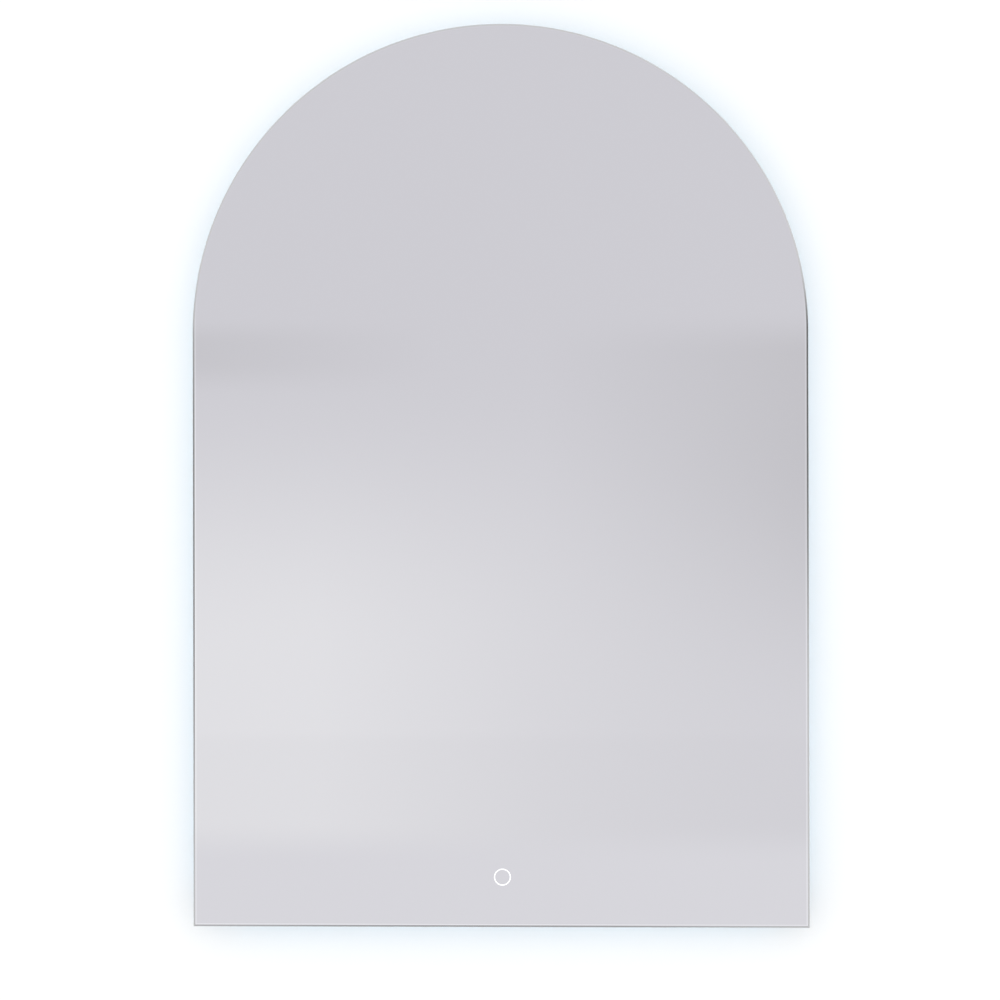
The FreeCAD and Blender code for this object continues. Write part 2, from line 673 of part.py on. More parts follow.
def wall_rail():
    rail = cleat(WALL_RAIL_LENGTH, CLEAT_HOOK, 0, -CLEAT_FLANGE / 2, -1)
    radius = FIXING_HOLE / 2
    straight = (SLOT_LENGTH - FIXING_HOLE) / 2
    cuts = []
    for side in (-1, 1):
        middle = side * SLOT_SPACING / 2
        cuts.append(box(middle - straight, middle + straight, -CLEAT_THICKNESS, 0, -radius, radius))
        cuts.append(along_y(middle - straight, 0, radius, -CLEAT_THICKNESS, 0))
        cuts.append(along_y(middle + straight, 0, radius, -CLEAT_THICKNESS, 0))
        cuts.append(along_y(side * HOLE_SPACING / 2, 0, radius, -CLEAT_THICKNESS, 0))
    return rail.cut(cuts).removeSplitter()


def hanger_rail():
    length = 2 * (FRAME_HALF - CHANNEL_DEPTH - HANGER_END_GAP)
    rail = cleat(length, CLEAT_HOOK - HOOK_TIP_GAP, FRAME_BACK_Y, HANGER_TOP_Z, 1)
    return rail.cut(screw_holes(HANGER_SCREWS, FRAME_BACK_Y, HANGER_BACK_Y))


def hanger_screws():
    grip = CLEAT_THICKNESS + BACK_FLANGE_THICKNESS
    return Part.makeCompound(sheet_screws(HANGER_SCREWS, HANGER_BACK_Y, grip))


# ---------------------------------------------------------------- equipment bracket
def equipment_bracket():
    """Strip folded down from both legs to just behind the film, with two pressed ribs."""
    t = BRACKET_THICKNESS
    side = FRAME_HALF - BACK_FLANGE - BRACKET_SIDE_GAP
    tab = FRAME_HALF - CHANNEL_DEPTH - BRACKET_TAB_GAP
    section = [
        (side, BRACKET_FRONT_Y),
        (side, FRAME_BACK_Y),
        (tab, FRAME_BACK_Y),
        (tab, BRACKET_TAB_Y),
        (side - t, BRACKET_TAB_Y),
        (side - t, BRACKET_FACE_Y),
    ]
    section += [(-x, y) for x, y in reversed(section)]
    corners = [Vector(x, y, BRACKET_BOTTOM_Z) for x, y in section]
    strip = polygon_face(corners).extrude(Vector(0, 0, BRACKET_HEIGHT))
    strip = round_folds(strip, [(side, BRACKET_FRONT_Y), (side - t, BRACKET_TAB_Y)], BRACKET_BEND + t)
    strip = round_folds(strip, [(side, FRAME_BACK_Y), (side - t, BRACKET_FACE_Y)], BRACKET_BEND)
    reach = side - RIB_END_GAP
    for z in (BRACKET_TOP_Z - RIB_WIDTH, BRACKET_BOTTOM_Z + RIB_WIDTH):
        strip = join([strip, rib(reach, BRACKET_FACE_Y, z)]).cut(rib(reach - t, BRACKET_FRONT_Y, z))
    holes = screw_holes(BRACKET_SCREWS, FRAME_BACK_Y, BRACKET_TAB_Y)
    ears = ear_places(DRIVER) + ear_places(TERMINAL)
    holes += screw_holes(ears, BRACKET_FRONT_Y, BRACKET_FACE_Y, SMALL_SCREW_DIAMETER)
    return strip.cut(holes)


def round_folds(strip, folds, radius):
    """Rounds the upright edges that stand at (x, y) and at their mirror places."""
    middles = [Vector(side * x, y, BRACKET_MID_Z) for side in (1, -1) for x, y in folds]
    edges = [
        edge
        for edge in strip.Edges
        if any(edge.CenterOfMass.distanceToPoint(middle) < 1e-6 for middle in middles)
    ]
    return strip.makeFillet(radius, edges)


def rib(reach, y, z):
    """Pressed rib with sloping sides, from -reach to reach."""
    half = RIB_WIDTH / 2
    top = half - RIB_HEIGHT
    sides = [(y, -half), (y, half), (y + RIB_HEIGHT, top), (y + RIB_HEIGHT, -top)]
    face = polygon_face([Vector(-reach, depth, z + up) for depth, up in sides])
    return face.extrude(Vector(2 * reach, 0, 0))


def bracket_screws():
    grip = BRACKET_THICKNESS + BACK_FLANGE_THICKNESS
    return Part.makeCompound(sheet_screws(BRACKET_SCREWS, BRACKET_TAB_Y, grip))


# ---------------------------------------------------------------- moulded cases
def case_rim(case):
    """Plane where the tray ends and its lid begins."""
    return BRACKET_FACE_Y + case.height - case.wall


def case_tray(case):
    """Open case on the bracket, with an ear at each end and screw bosses in two corners."""
    rim = case_rim(case)
    middle = (case.bottom + case.top) / 2
    ear_top = BRACKET_FACE_Y + EAR_THICKNESS
    outside = rounded_box(case.left, case.right, BRACKET_FACE_Y, rim, case.bottom, case.top, CASE_CORNER)
    ears = rounded_box(
        case.left - EAR_LENGTH, case.right + EAR_LENGTH, BRACKET_FACE_Y, ear_top,
        middle - EAR_WIDTH / 2, middle + EAR_WIDTH / 2, EAR_CORNER)
    inside = rounded_box(
        case.left + case.wall, case.right - case.wall, BRACKET_FACE_Y + case.wall, rim,
        case.bottom + case.wall, case.top - case.wall, CASE_INNER_CORNER)
    floor = BRACKET_FACE_Y + case.wall / 2
    bosses = [along_y(x, z, BOSS_RADIUS, floor, rim) for x, z in boss_places(case)]
    tray = join([join([outside, ears]).cut(inside)] + bosses)
    holes = screw_holes(ear_places(case), BRACKET_FACE_Y, ear_top, SMALL_SCREW_DIAMETER)
    depth = BOSS_THREAD + BOSS_HOLE_END
    holes += screw_holes(boss_places(case), rim - depth, rim, SMALL_SCREW_DIAMETER)
    return tray.cut(holes)


def case_lid(case):
    """Lid with a bevelled edge and a tongue that locates it inside the tray's walls."""
    rim = case_rim(case)
    back = rim + case.wall
    plate = rounded_box(case.left, case.right, rim, back, case.bottom, case.top, CASE_CORNER)
    plate = plate.makeChamfer(LID_CHAMFER, edges_at(plate, back))
    inset = case.wall + TONGUE_CLEARANCE
    tongue = rounded_box(
        case.left + inset, case.right - inset, rim - TONGUE_HEIGHT, rim,
        case.bottom + inset, case.top - inset, CASE_INNER_CORNER)
    room = BOSS_RADIUS + TONGUE_CLEARANCE
    tongue = tongue.cut([along_y(x, z, room, rim - TONGUE_HEIGHT, rim) for x, z in boss_places(case)])
    return join([plate, tongue]).cut(screw_holes(boss_places(case), rim, back, SMALL_SCREW_DIAMETER))


def case_screws():
    """Screws through the ears of both cases into the bracket."""
    places = ear_places(DRIVER) + ear_places(TERMINAL)
    return Part.makeCompound(
        small_screws(places, BRACKET_FACE_Y + EAR_THICKNESS, EAR_THICKNESS + BRACKET_THICKNESS))


def lid_screws():
    screws = []
    for case in (DRIVER, TERMINAL):
        screws += small_screws(boss_places(case), case_rim(case) + case.wall, case.wall + BOSS_THREAD)
    return Part.makeCompound(screws)


def lead_hole(x_low, x_high, z, diameter):
    """Hole for a lead through the end wall of a case."""
    return along_x(x_low, x_high, HOLE_Y, z, diameter / 2)


# ---------------------------------------------------------------- light driver
def driver_posts():
    """Where the board is carried, near the two corners without a screw boss."""
    up = DRIVER_WIDTH / 2 - BOSS_INSET - POST_DIAMETER
    return [(DRIVER.left + POST_INSET, BRACKET_MID_Z - up), (DRIVER.right - POST_INSET, BRACKET_MID_Z + up)]


def driver_case():
    posts = [
        along_y(x, z, POST_DIAMETER / 2, BRACKET_FACE_Y + DRIVER_WALL / 2, DRIVER_BOARD_Y)
        for x, z in driver_posts()
    ]
    tray = join([case_tray(DRIVER)] + posts)
    mains = lead_hole(DRIVER.right - DRIVER_WALL, DRIVER.right, BRACKET_MID_Z - MAINS_HOLE_RISE, MAINS_HOLE)
    sensor = lead_hole(DRIVER.left, DRIVER.left + DRIVER_WALL, BRACKET_MID_Z, SENSOR_HOLE)
    return tray.cut([mains, sensor])


def driver_board():
    inset = DRIVER_WALL + BOARD_SIDE_GAP
    board = rounded_box(
        DRIVER.left + inset, DRIVER.right - inset, DRIVER_BOARD_Y, DRIVER_PARTS_Y,
        DRIVER.bottom + inset, DRIVER.top - inset, CASE_INNER_CORNER)
    room = BOSS_RADIUS + BOARD_SIDE_GAP
    return board.cut([along_y(x, z, room, DRIVER_BOARD_Y, DRIVER_PARTS_Y) for x, z in boss_places(DRIVER)])


def driver_parts():
    """Transformer, two capacitors, a choke and a connector at each end, on the board."""
    face = DRIVER_PARTS_Y
    middle = (DRIVER.left + DRIVER.right) / 2
    z = BRACKET_MID_Z
    half_length = TRANSFORMER_LENGTH / 2
    half_width = TRANSFORMER_WIDTH / 2
    core = box(
        middle - half_length, middle + half_length, face, face + TRANSFORMER_HEIGHT,
        z - half_width, z + half_width)
    bobbin = box(
        middle - half_width, middle + half_width, face, face + BOBBIN_HEIGHT,
        z - half_width - BOBBIN_OVERHANG, z + half_width + BOBBIN_OVERHANG)
    parts = [join([core, bobbin])]
    for step in (-0.5, 0.5):
        x = middle - TRANSFORMER_LENGTH - CAPACITOR_DIAMETER / 2
        can = along_y(x, z + step * CAPACITOR_PITCH, CAPACITOR_DIAMETER / 2, face, face + TRANSFORMER_HEIGHT)
        parts.append(can.makeChamfer(CAPACITOR_CHAMFER, edges_at(can, face + TRANSFORMER_HEIGHT)))
    choke_x = middle + TRANSFORMER_LENGTH + CHOKE_DIAMETER / 2
    ring = along_y(choke_x, z, CHOKE_DIAMETER / 2, face, face + CHOKE_HEIGHT)
    parts.append(ring.cut(along_y(choke_x, z, CHOKE_HOLE / 2, face, face + CHOKE_HEIGHT)))
    for x in (DRIVER.left + CONNECTOR_INSET, DRIVER.right - CONNECTOR_INSET - CONNECTOR_LENGTH):
        parts.append(box(
            x, x + CONNECTOR_LENGTH, face, face + CONNECTOR_HEIGHT,
            z - CONNECTOR_WIDTH / 2, z + CONNECTOR_WIDTH / 2))
    return Part.makeCompound(parts)


# ---------------------------------------------------------------- terminal box and gland
def terminal_ways():
    """X of each way of the terminal block."""
    start = (TERMINAL.left + TERMINAL.right - TERMINAL_WAYS * TERMINAL_PITCH) / 2
    return [start + (way + 0.5) * TERMINAL_PITCH for way in range(TERMINAL_WAYS)]


def terminal_wells():
    offset = TERMINAL_DEPTH / 4
    return [(x, BRACKET_MID_Z + side * offset) for x in terminal_ways() for side in (-1, 1)]


def terminal_box():
    tray = case_tray(TERMINAL)
    mains = lead_hole(TERMINAL.left, TERMINAL.left + BOX_WALL, BRACKET_MID_Z + MAINS_HOLE_RISE, MAINS_HOLE)
    demister = lead_hole(TERMINAL.right - BOX_WALL, TERMINAL.right, BRACKET_MID_Z, DEMISTER_HOLE)
    radius = GLAND_THREAD / 2 + GLAND_CLEARANCE
    gland = along_z(GLAND_X, HOLE_Y, radius, TERMINAL.bottom, TERMINAL.bottom + BOX_WALL)
    return tray.cut([mains, demister, gland])


def terminal_block():
    """Screw terminals in one moulding, a groove between each two ways."""
    low = BRACKET_FACE_Y + BOX_WALL
    high = low + TERMINAL_HEIGHT
    below = BRACKET_MID_Z - TERMINAL_DEPTH / 2
    above = BRACKET_MID_Z + TERMINAL_DEPTH / 2
    ways = terminal_ways()
    half = TERMINAL_PITCH / 2
    base = box(ways[0] - half, ways[-1] + half, low, low + TERMINAL_BASE, below, above)
    tower = half - TERMINAL_GROOVE / 2
    towers = [box(x - tower, x + tower, low, high, below, above) for x in ways]
    wire_low = low + TERMINAL_BASE
    wire = TERMINAL_WIRE / 2
    wires = [box(x - wire, x + wire, wire_low, wire_low + TERMINAL_WIRE, below, above) for x in ways]
    wells = [along_y(x, z, TERMINAL_WELL / 2, high - TERMINAL_WELL_DEPTH, high) for x, z in terminal_wells()]
    return join([base] + towers).cut(wires + wells)


def terminal_screws():
    top = BRACKET_FACE_Y + BOX_WALL + TERMINAL_HEIGHT
    low = top - TERMINAL_WELL_DEPTH
    high = top - TERMINAL_SCREW_RECESS
    screws = []
    for x, z in terminal_wells():
        body = along_y(x, z, TERMINAL_SCREW / 2, low, high)
        slot = box(
            x - TERMINAL_SLOT / 2, x + TERMINAL_SLOT / 2, high - TERMINAL_SLOT, high,
            z - TERMINAL_SCREW, z + TERMINAL_SCREW)
        screws.append(body.cut(slot))
    return Part.makeCompound(screws)


def gland_bore(z_low, z_high, radius):
    return along_z(GLAND_X, HOLE_Y, radius, z_low, z_high)


def gland_body():
    """Thread through the box's lower wall, a hexagon under it and the part that takes the seal."""
    thread = gland_bore(GLAND_COLLET_Z, GLAND_TOP_Z, GLAND_THREAD / 2)
    nut = hexagon(GLAND_X, HOLE_Y, TERMINAL.bottom, GLAND_ACROSS_FLATS, GLAND_HEX_LENGTH)
    bore = gland_bore(GLAND_COLLET_Z, GLAND_TOP_Z, GLAND_BORE / 2)
    pocket_radius = GLAND_SEAL_DIAMETER / 2 + GLAND_CLEARANCE
    pocket = gland_bore(GLAND_COLLET_Z, GLAND_COLLET_Z + GLAND_SEAL_LENGTH, pocket_radius)
    return join([thread, nut]).cut([bore, pocket])


def gland_locknut():
    low = TERMINAL.bottom + BOX_WALL
    nut = hexagon(GLAND_X, HOLE_Y, low + GLAND_LOCKNUT, GLAND_ACROSS_FLATS, GLAND_LOCKNUT)
    return nut.cut(gland_bore(low, low + GLAND_LOCKNUT, GLAND_THREAD / 2 + GLAND_CLEARANCE))


def gland_seal():
    sleeve = gland_bore(GLAND_COLLET_Z, GLAND_COLLET_Z + GLAND_SEAL_LENGTH, GLAND_SEAL_DIAMETER / 2)
    return sleeve.cut(gland_bore(GLAND_COLLET_Z, GLAND_COLLET_Z + GLAND_SEAL_LENGTH, GLAND_BORE / 2))


def gland_cap():
    """Cap nut over the seal, its lower end bevelled."""
    top = GLAND_NUT_Z - GLAND_CAP_GAP
    bottom = top - GLAND_CAP_LENGTH
    nut = hexagon(GLAND_X, HOLE_Y, top, GLAND_ACROSS_FLATS, GLAND_CAP_LENGTH)
    widest = GLAND_ACROSS_FLATS / math.sqrt(3)
    dome = turned([
        (0, top),
        (widest, top),
        (widest, bottom + GLAND_CAP_BEVEL),
        (GLAND_CAP_END / 2, bottom),
        (0, bottom),
    ], Vector(GLAND_X, HOLE_Y, 0), Vector(0, 0, 1))
    chamber = gland_bore(GLAND_COLLET_Z, top, GLAND_THREAD / 2 + GLAND_CLEARANCE)
    exit_bore = gland_bore(bottom, top, GLAND_BORE / 2 + GLAND_CLEARANCE)
    return nut.common(dome).cut([chamber, exit_bore])


# ---------------------------------------------------------------- touch switch
def film_notch(x_low, x_high, z, diameter):
    """Notch for a lead, open to the film and rounded at its back."""
    y = FILM_BACK_Y + diameter / 2
    flat = box(x_low, x_high, FILM_BACK_Y, y, z - diameter / 2, z + diameter / 2)
    return along_x(x_low, x_high, y, z, diameter / 2).fuse(flat)


def sensor_case():
    """Cup glued to the film by its rim, with posts that carry the board."""
    low = RING_Z - SENSOR_HEIGHT / 2
    high = RING_Z + SENSOR_HEIGHT / 2
    cup = rounded_box(SENSOR_LEFT, SENSOR_RIGHT, FILM_BACK_Y, SENSOR_BACK_Y, low, high, SENSOR_CORNER)
    cup = cup.makeChamfer(LID_CHAMFER, edges_at(cup, SENSOR_BACK_Y))
    inside = rounded_box(
        SENSOR_LEFT + SENSOR_WALL, SENSOR_RIGHT - SENSOR_WALL, FILM_BACK_Y, SENSOR_BACK_Y - SENSOR_WALL,
        low + SENSOR_WALL, high - SENSOR_WALL, SENSOR_INNER_CORNER)
    inset = SENSOR_WALL + SENSOR_POST
    places = [(SENSOR_LEFT + inset, low + inset), (SENSOR_RIGHT - inset, high - inset)]
    posts = [
        along_y(x, z, SENSOR_POST / 2, SENSOR_BOARD_Y + SENSOR_BOARD, SENSOR_BACK_Y - SENSOR_WALL / 2)
        for x, z in places
    ]
    cup = join([cup.cut(inside)] + posts)
    left = film_notch(SENSOR_LEFT, SENSOR_LEFT + SENSOR_WALL, RING_Z, SENSOR_HOLE)
    right = film_notch(SENSOR_RIGHT - SENSOR_WALL, SENSOR_RIGHT, RING_Z, LIGHT_HOLE)
    return cup.cut([left, right])


def sensor_board():
    inset = SENSOR_WALL + BOARD_SIDE_GAP
    half = SENSOR_HEIGHT / 2 - inset
    return rounded_box(
        SENSOR_LEFT + inset, SENSOR_RIGHT - inset, SENSOR_BOARD_Y, SENSOR_BOARD_Y + SENSOR_BOARD,
        RING_Z - half, RING_Z + half, SENSOR_INNER_CORNER)


def sensor_leds():
    """Chips on the board behind the ring."""
    radius = RING_DIAMETER / 2
    chip = box(
        RING_X + radius - CHIP_WIDTH / 2, RING_X + radius + CHIP_WIDTH / 2,
        SENSOR_BOARD_Y - CHIP_HEIGHT, SENSOR_BOARD_Y, RING_Z - CHIP_LENGTH / 2, RING_Z + CHIP_LENGTH / 2)
    centre = Vector(RING_X, 0, RING_Z)
    turns = [(index + 0.5) * 360 / SENSOR_CHIPS for index in range(SENSOR_CHIPS)]
    return Part.makeCompound([chip.rotated(centre, Vector(0, 1, 0), turn) for turn in turns])


def touch_electrode():
    """Contact pad against the film inside the ring, on a stem from the board."""
    pad_radius = GUIDE_INNER - ELECTRODE_GAP
    stem = ELECTRODE_STEM / 2
    pad_back = FILM_BACK_Y + ELECTRODE_PAD
    return turned([
        (0, FILM_BACK_Y),
        (pad_radius, FILM_BACK_Y),
        (pad_radius, pad_back),
        (stem, pad_back),
        (stem, SENSOR_BOARD_Y),
        (0, SENSOR_BOARD_Y),
    ], Vector(RING_X, 0, RING_Z), Vector(0, 1, 0))


def ring_light_guide():
    """Clear ring that lies on the film behind the ring window."""
    back = SENSOR_BOARD_Y - CHIP_HEIGHT - GUIDE_CHIP_GAP
    return turned([
        (GUIDE_INNER, FILM_BACK_Y),
        (GUIDE_OUTER, FILM_BACK_Y),
        (GUIDE_OUTER, back),
        (GUIDE_INNER, back),
    ], Vector(RING_X, 0, RING_Z), Vector(0, 1, 0))


# ---------------------------------------------------------------- demister
def demister_pad():
    return rounded_box(-PAD_HALF, PAD_HALF, FILM_BACK_Y, PAD_BACK_Y, PAD_BOTTOM_Z, PAD_TOP_Z, PAD_CORNER)


def demister_track():
    """Heating track: upright runs joined end to end, and a return along the top to the terminal."""
    half = TRACK_WIDTH / 2
    edge = PAD_HALF - TRACK_MARGIN
    low = PAD_BOTTOM_Z + TRACK_MARGIN
    return_z = PAD_TERMINAL_TOP_Z - PAD_TERMINAL_WIDTH + half
    high = return_z - TRACK_PITCH
    spans = 2 * int(edge / TRACK_PITCH) - 1
    pitch = 2 * edge / spans
    xs = [edge - index * pitch for index in range(spans + 1)]
    bars = [upright_bar(x, low, high, half) for x in xs[1:-1]]
    bars.append(upright_bar(xs[0], low, return_z, half))
    bars.append(upright_bar(xs[-1], low, return_z, half))
    for index, (right, left) in enumerate(zip(xs, xs[1:])):
        z = low if index % 2 == 0 else high
        bars.append(level_bar(left, right, z, half))
    bars.append(level_bar(xs[-1], PAD_TERMINAL_RIGHT - PAD_TERMINAL_LENGTH / 2, return_z, half))
    return join(bars)


def upright_bar(x, low, high, half):
    return box(x - half, x + half, PAD_BACK_Y, TRACK_BACK_Y, low - half, high + half)


def level_bar(left, right, z, half):
    return box(left - half, right + half, PAD_BACK_Y, TRACK_BACK_Y, z - half, z + half)


def demister_terminal():
    """Moulded cover over the track's two ends."""
    back = TRACK_BACK_Y + PAD_TERMINAL_HEIGHT
    left = PAD_TERMINAL_RIGHT - PAD_TERMINAL_LENGTH
    right = PAD_TERMINAL_RIGHT + TRACK_WIDTH / 2
    low = PAD_TERMINAL_TOP_Z - PAD_TERMINAL_WIDTH
    cover = rounded_box(left, right, TRACK_BACK_Y, back, low, PAD_TERMINAL_TOP_Z, PAD_TERMINAL_CORNER)
    cover = cover.makeChamfer(LID_CHAMFER, edges_at(cover, back))
    x = PAD_TERMINAL_RIGHT - PAD_TERMINAL_LENGTH / 2
    y = TRACK_BACK_Y + PAD_TERMINAL_HEIGHT / 2
    entry = along_z(x, y, DEMISTER_HOLE / 2, PAD_TERMINAL_TOP_Z - DEMISTER_HOLE_DEPTH, PAD_TERMINAL_TOP_Z)
    return cover.cut(entry)


# ---------------------------------------------------------------- bush
def strip_bush():
    """Rubber bush in the bottom rail's web, between the light strip's two ends."""
    low = FRAME_BOTTOM_Z + CHANNEL_DEPTH
    high = FRAME_BOTTOM_Z + WEB_INSIDE
    bore = LIGHT_HOLE / 2
    neck = BUSH_NECK / 2
    flange = BUSH_FLANGE / 2
    return turned([
        (bore, low - BUSH_LIP),
        (flange, low - BUSH_LIP),
        (flange, low),
        (neck, low),
        (neck, high),
        (flange, high),
        (flange, high + BUSH_LIP),
        (bore, high + BUSH_LIP),
    ], Vector(LIGHT_ENTRY_X, CHANNEL_MID_Y, 0), Vector(0, 0, 1))


# ---------------------------------------------------------------- nodes
NODES = {
    "wall_rail": wall_rail,
    "mirror_glass": mirror_glass,
    "backing_film": backing_film,
    "mounting_tape": mounting_tape,
    "frame_arch": frame_arch,
    "frame_bottom": frame_bottom,
    "corner_key_right": corner_key,
    "corner_key_left": lambda: mirrored(corner_key()),
    "corner_screws": corner_screws,
    "wall_feet": wall_feet,
    "diffuser_arch": lambda: follow_arch(diffuser_section()),
    "diffuser_bottom": lambda: follow_bottom(diffuser_section()),
    "led_strip": led_strip,
    "led_chips": led_chips,
    "hanger_rail": hanger_rail,
    "hanger_screws": hanger_screws,
    "equipment_bracket": equipment_bracket,
    "bracket_screws": bracket_screws,
    "driver_case": driver_case,
    "driver_lid": lambda: case_lid(DRIVER),
    "driver_board": driver_board,
    "driver_parts": driver_parts,
    "terminal_box": terminal_box,
    "terminal_lid": lambda: case_lid(TERMINAL),
    "terminal_block": terminal_block,
    "terminal_screws": terminal_screws,
    "case_screws": case_screws,
    "lid_screws": lid_screws,
    "gland_body": gland_body,
    "gland_locknut": gland_locknut,
    "gland_seal": gland_seal,
    "gland_cap": gland_cap,
    "sensor_case": sensor_case,
    "sensor_board": sensor_board,
    "sensor_leds": sensor_leds,
    "touch_electrode": touch_electrode,
    "ring_light_guide": ring_light_guide,
    "demister_pad": demister_pad,
    "demister_track": demister_track,
    "demister_terminal": demister_terminal,
    "strip_bush": strip_bush,
}


def main():
    os.makedirs("parts", exist_ok=True)
    for name, make in NODES.items():
        make().exportStep("parts/" + name + ".step")


main()
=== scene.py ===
import json
import math

import bmesh
import bpy
from bpy.props import FloatProperty, FloatVectorProperty, PointerProperty
from mathutils import Euler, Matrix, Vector


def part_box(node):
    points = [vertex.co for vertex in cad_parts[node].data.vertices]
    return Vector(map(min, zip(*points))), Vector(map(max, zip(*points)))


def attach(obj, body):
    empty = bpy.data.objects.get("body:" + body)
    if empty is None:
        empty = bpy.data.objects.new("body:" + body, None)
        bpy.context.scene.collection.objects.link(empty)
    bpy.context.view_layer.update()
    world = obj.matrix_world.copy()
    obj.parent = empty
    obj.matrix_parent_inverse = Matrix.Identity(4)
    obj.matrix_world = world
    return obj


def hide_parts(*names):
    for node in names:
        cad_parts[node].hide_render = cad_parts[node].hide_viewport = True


bl_info = {
    "name": "Arched back-lit mirror",
    "version": (1, 0, 0),
    "blender": (4, 5, 0),
    "location": "3D View > Sidebar > Mirror",
    "description": "Models an arched back-lit bathroom mirror around its packed frame",
    "category": "Add Mesh",
}

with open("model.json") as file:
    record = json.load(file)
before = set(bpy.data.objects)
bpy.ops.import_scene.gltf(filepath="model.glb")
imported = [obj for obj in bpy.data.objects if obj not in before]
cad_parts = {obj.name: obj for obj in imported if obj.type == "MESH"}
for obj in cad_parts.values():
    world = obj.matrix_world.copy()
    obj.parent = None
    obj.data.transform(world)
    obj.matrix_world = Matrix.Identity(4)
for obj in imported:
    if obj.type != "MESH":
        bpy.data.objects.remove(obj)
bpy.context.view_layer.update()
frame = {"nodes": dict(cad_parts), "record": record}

# Places that come from the frame: the pane's outline is two straight sides and a half circle
PANE_LOW, PANE_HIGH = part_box("mirror_glass")
HALF_WIDTH = PANE_HIGH.x
BOTTOM_Z = PANE_LOW.z
SPRING_Z = PANE_HIGH.z - HALF_WIDTH
GLASS_FRONT = PANE_LOW.y
GLASS_BACK = PANE_HIGH.y
GUIDE_LOW, GUIDE_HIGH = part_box("ring_light_guide")
RING_X = (GUIDE_LOW.x + GUIDE_HIGH.x) / 2
RING_Z = (GUIDE_LOW.z + GUIDE_HIGH.z) / 2

TINY = 0.00001              # places nearer to each other than this count as one
FLAT = 0.99                 # a face whose normal points this much along an axis faces that way
MERGE_DISTANCE = 0.000002   # between the loose corners of a frame node's triangles
FLAT_ANGLE = 0.6            # degrees; faces that meet flatter than this become one
ROUND_ANGLE = 35            # degrees; edges sharper than this are rounded
SMOOTH_ANGLE = 32           # degrees; edges flatter than this are shaded smooth
FACE_WEIGHT = 90            # how much large faces keep their own normal beside a round
NOISE_BAND = (0.3, 0.7)     # the part of a noise that is spread over a finish's range
NOISE_ROUGHNESS = 0.55
QUARTER_TURN = math.radians(90)


# ---------------------------------------------------------------- what a user would change
def colour(name, description, default):
    return FloatVectorProperty(
        name=name, description=description, default=default, subtype="COLOR", size=3, min=0, max=1)


def length(name, description, default):
    return FloatProperty(
        name=name, description=description, default=default, subtype="DISTANCE", unit="LENGTH", min=0)


def strength(name, description, default):
    return FloatProperty(name=name, description=description, default=default, min=0)


def turn(name, description, degrees):
    return FloatProperty(
        name=name, description=description, default=math.radians(degrees), subtype="ANGLE",
        unit="ROTATION")


class PaneSettings(bpy.types.PropertyGroup):
    arris: length("Arris", "Width of the polished 45 degree edge at the front", 0.0024)
    back_arris: length("Back arris", "Width of the polished 45 degree edge at the back", 0.0010)
    edge_band: length("Edge band", "Width of the light line inside the edge", 0.0016)
    ring_radius: length("Ring radius", "Middle of the touch ring's line", 0.0096)
    ring_line: length("Ring line", "Width of the touch ring's line", 0.0012)
    ring_depth: length("Ring depth", "Depth of the touch ring's groove", 0.0002)
    silver: colour("Silver", "Tint of the mirror", (0.985, 0.985, 0.99))
    edge: colour("Edge", "Tint of the polished edge", (0.80, 0.80, 0.815))
    # Strength of the painted glow (emission) on the light line below the arch.
    edge_light: strength("Edge light", "Brightness added by the light line inside the edge", 0.10)


class MetalSettings(bpy.types.PropertyGroup):
    aluminium: colour("Aluminium", "Satin anodised light channel", (0.74, 0.75, 0.76))
    zinc: colour("Zinc", "Zinc plated rails, keys and bracket", (0.60, 0.62, 0.66))
    zinc_warm: colour("Zinc bloom", "Warmer bloom in the zinc plating", (0.66, 0.63, 0.56))
    screw: colour("Screws", "Bright zinc plated screws", (0.68, 0.69, 0.72))
    brass: colour("Brass", "Terminal screws and touch contact", (0.78, 0.60, 0.28))
    edge_round: length("Edge round", "Rounding of cut and folded metal edges", 0.00025)


class PlasticSettings(bpy.types.PropertyGroup):
    case: colour("Cases", "Moulded cases and their lids", (0.80, 0.80, 0.78))
    gland: colour("Gland", "Cable gland", (0.16, 0.165, 0.17))
    rubber: colour("Rubber", "Feet, seal and bush", (0.025, 0.025, 0.027))
    terminal: colour("Terminals", "Terminal block", (0.78, 0.77, 0.70))
    cover: colour("Demister cover", "Cover of the demister's terminal", (0.035, 0.035, 0.04))
    film: colour("Backing film", "Safety film over the mirror's paint", (0.30, 0.335, 0.36))
    amber: colour("Demister film", "Amber film of the heating pad", (0.52, 0.235, 0.035))
    track: colour("Demister track", "Etched heating track", (0.33, 0.21, 0.11))
    moulding_round: length("Moulding round", "Rounding of moulded edges", 0.0005)


class LightSettings(bpy.types.PropertyGroup):
    glow: colour("Glow", "Colour of the light strip through its diffuser", (0.416, 0.75, 1.0))
    glow_strength: strength("Glow strength", "Brightness of the diffuser", 2.6)
    ring_strength: strength("Ring strength", "Brightness of the touch ring", 0.45)
    room: colour("Room", "Light of the room on walls and floor", (1.0, 1.0, 1.0))
    room_strength: strength("Room strength", "Brightness of the room", 1.2)
    backdrop_strength: strength(
        "Backdrop strength", "Brightness of the backdrop beyond the wall and floor", 0.84)
    back_strength: strength("Back strength", "Brightness of what the mirror's back faces", 0.42)
    upper_tone: colour("Upper tone", "What the mirror shows in its upper part", (0.622, 0.615, 0.655))
    left_tone: colour("Left tone", "What the mirror shows low on the left", (0.760, 0.756, 0.782))
    right_tone: colour("Right tone", "What the mirror shows on the right", (0.560, 0.553, 0.585))
    floor_tone: colour("Floor tone", "What the mirror shows at its foot", (0.690, 0.684, 0.722))


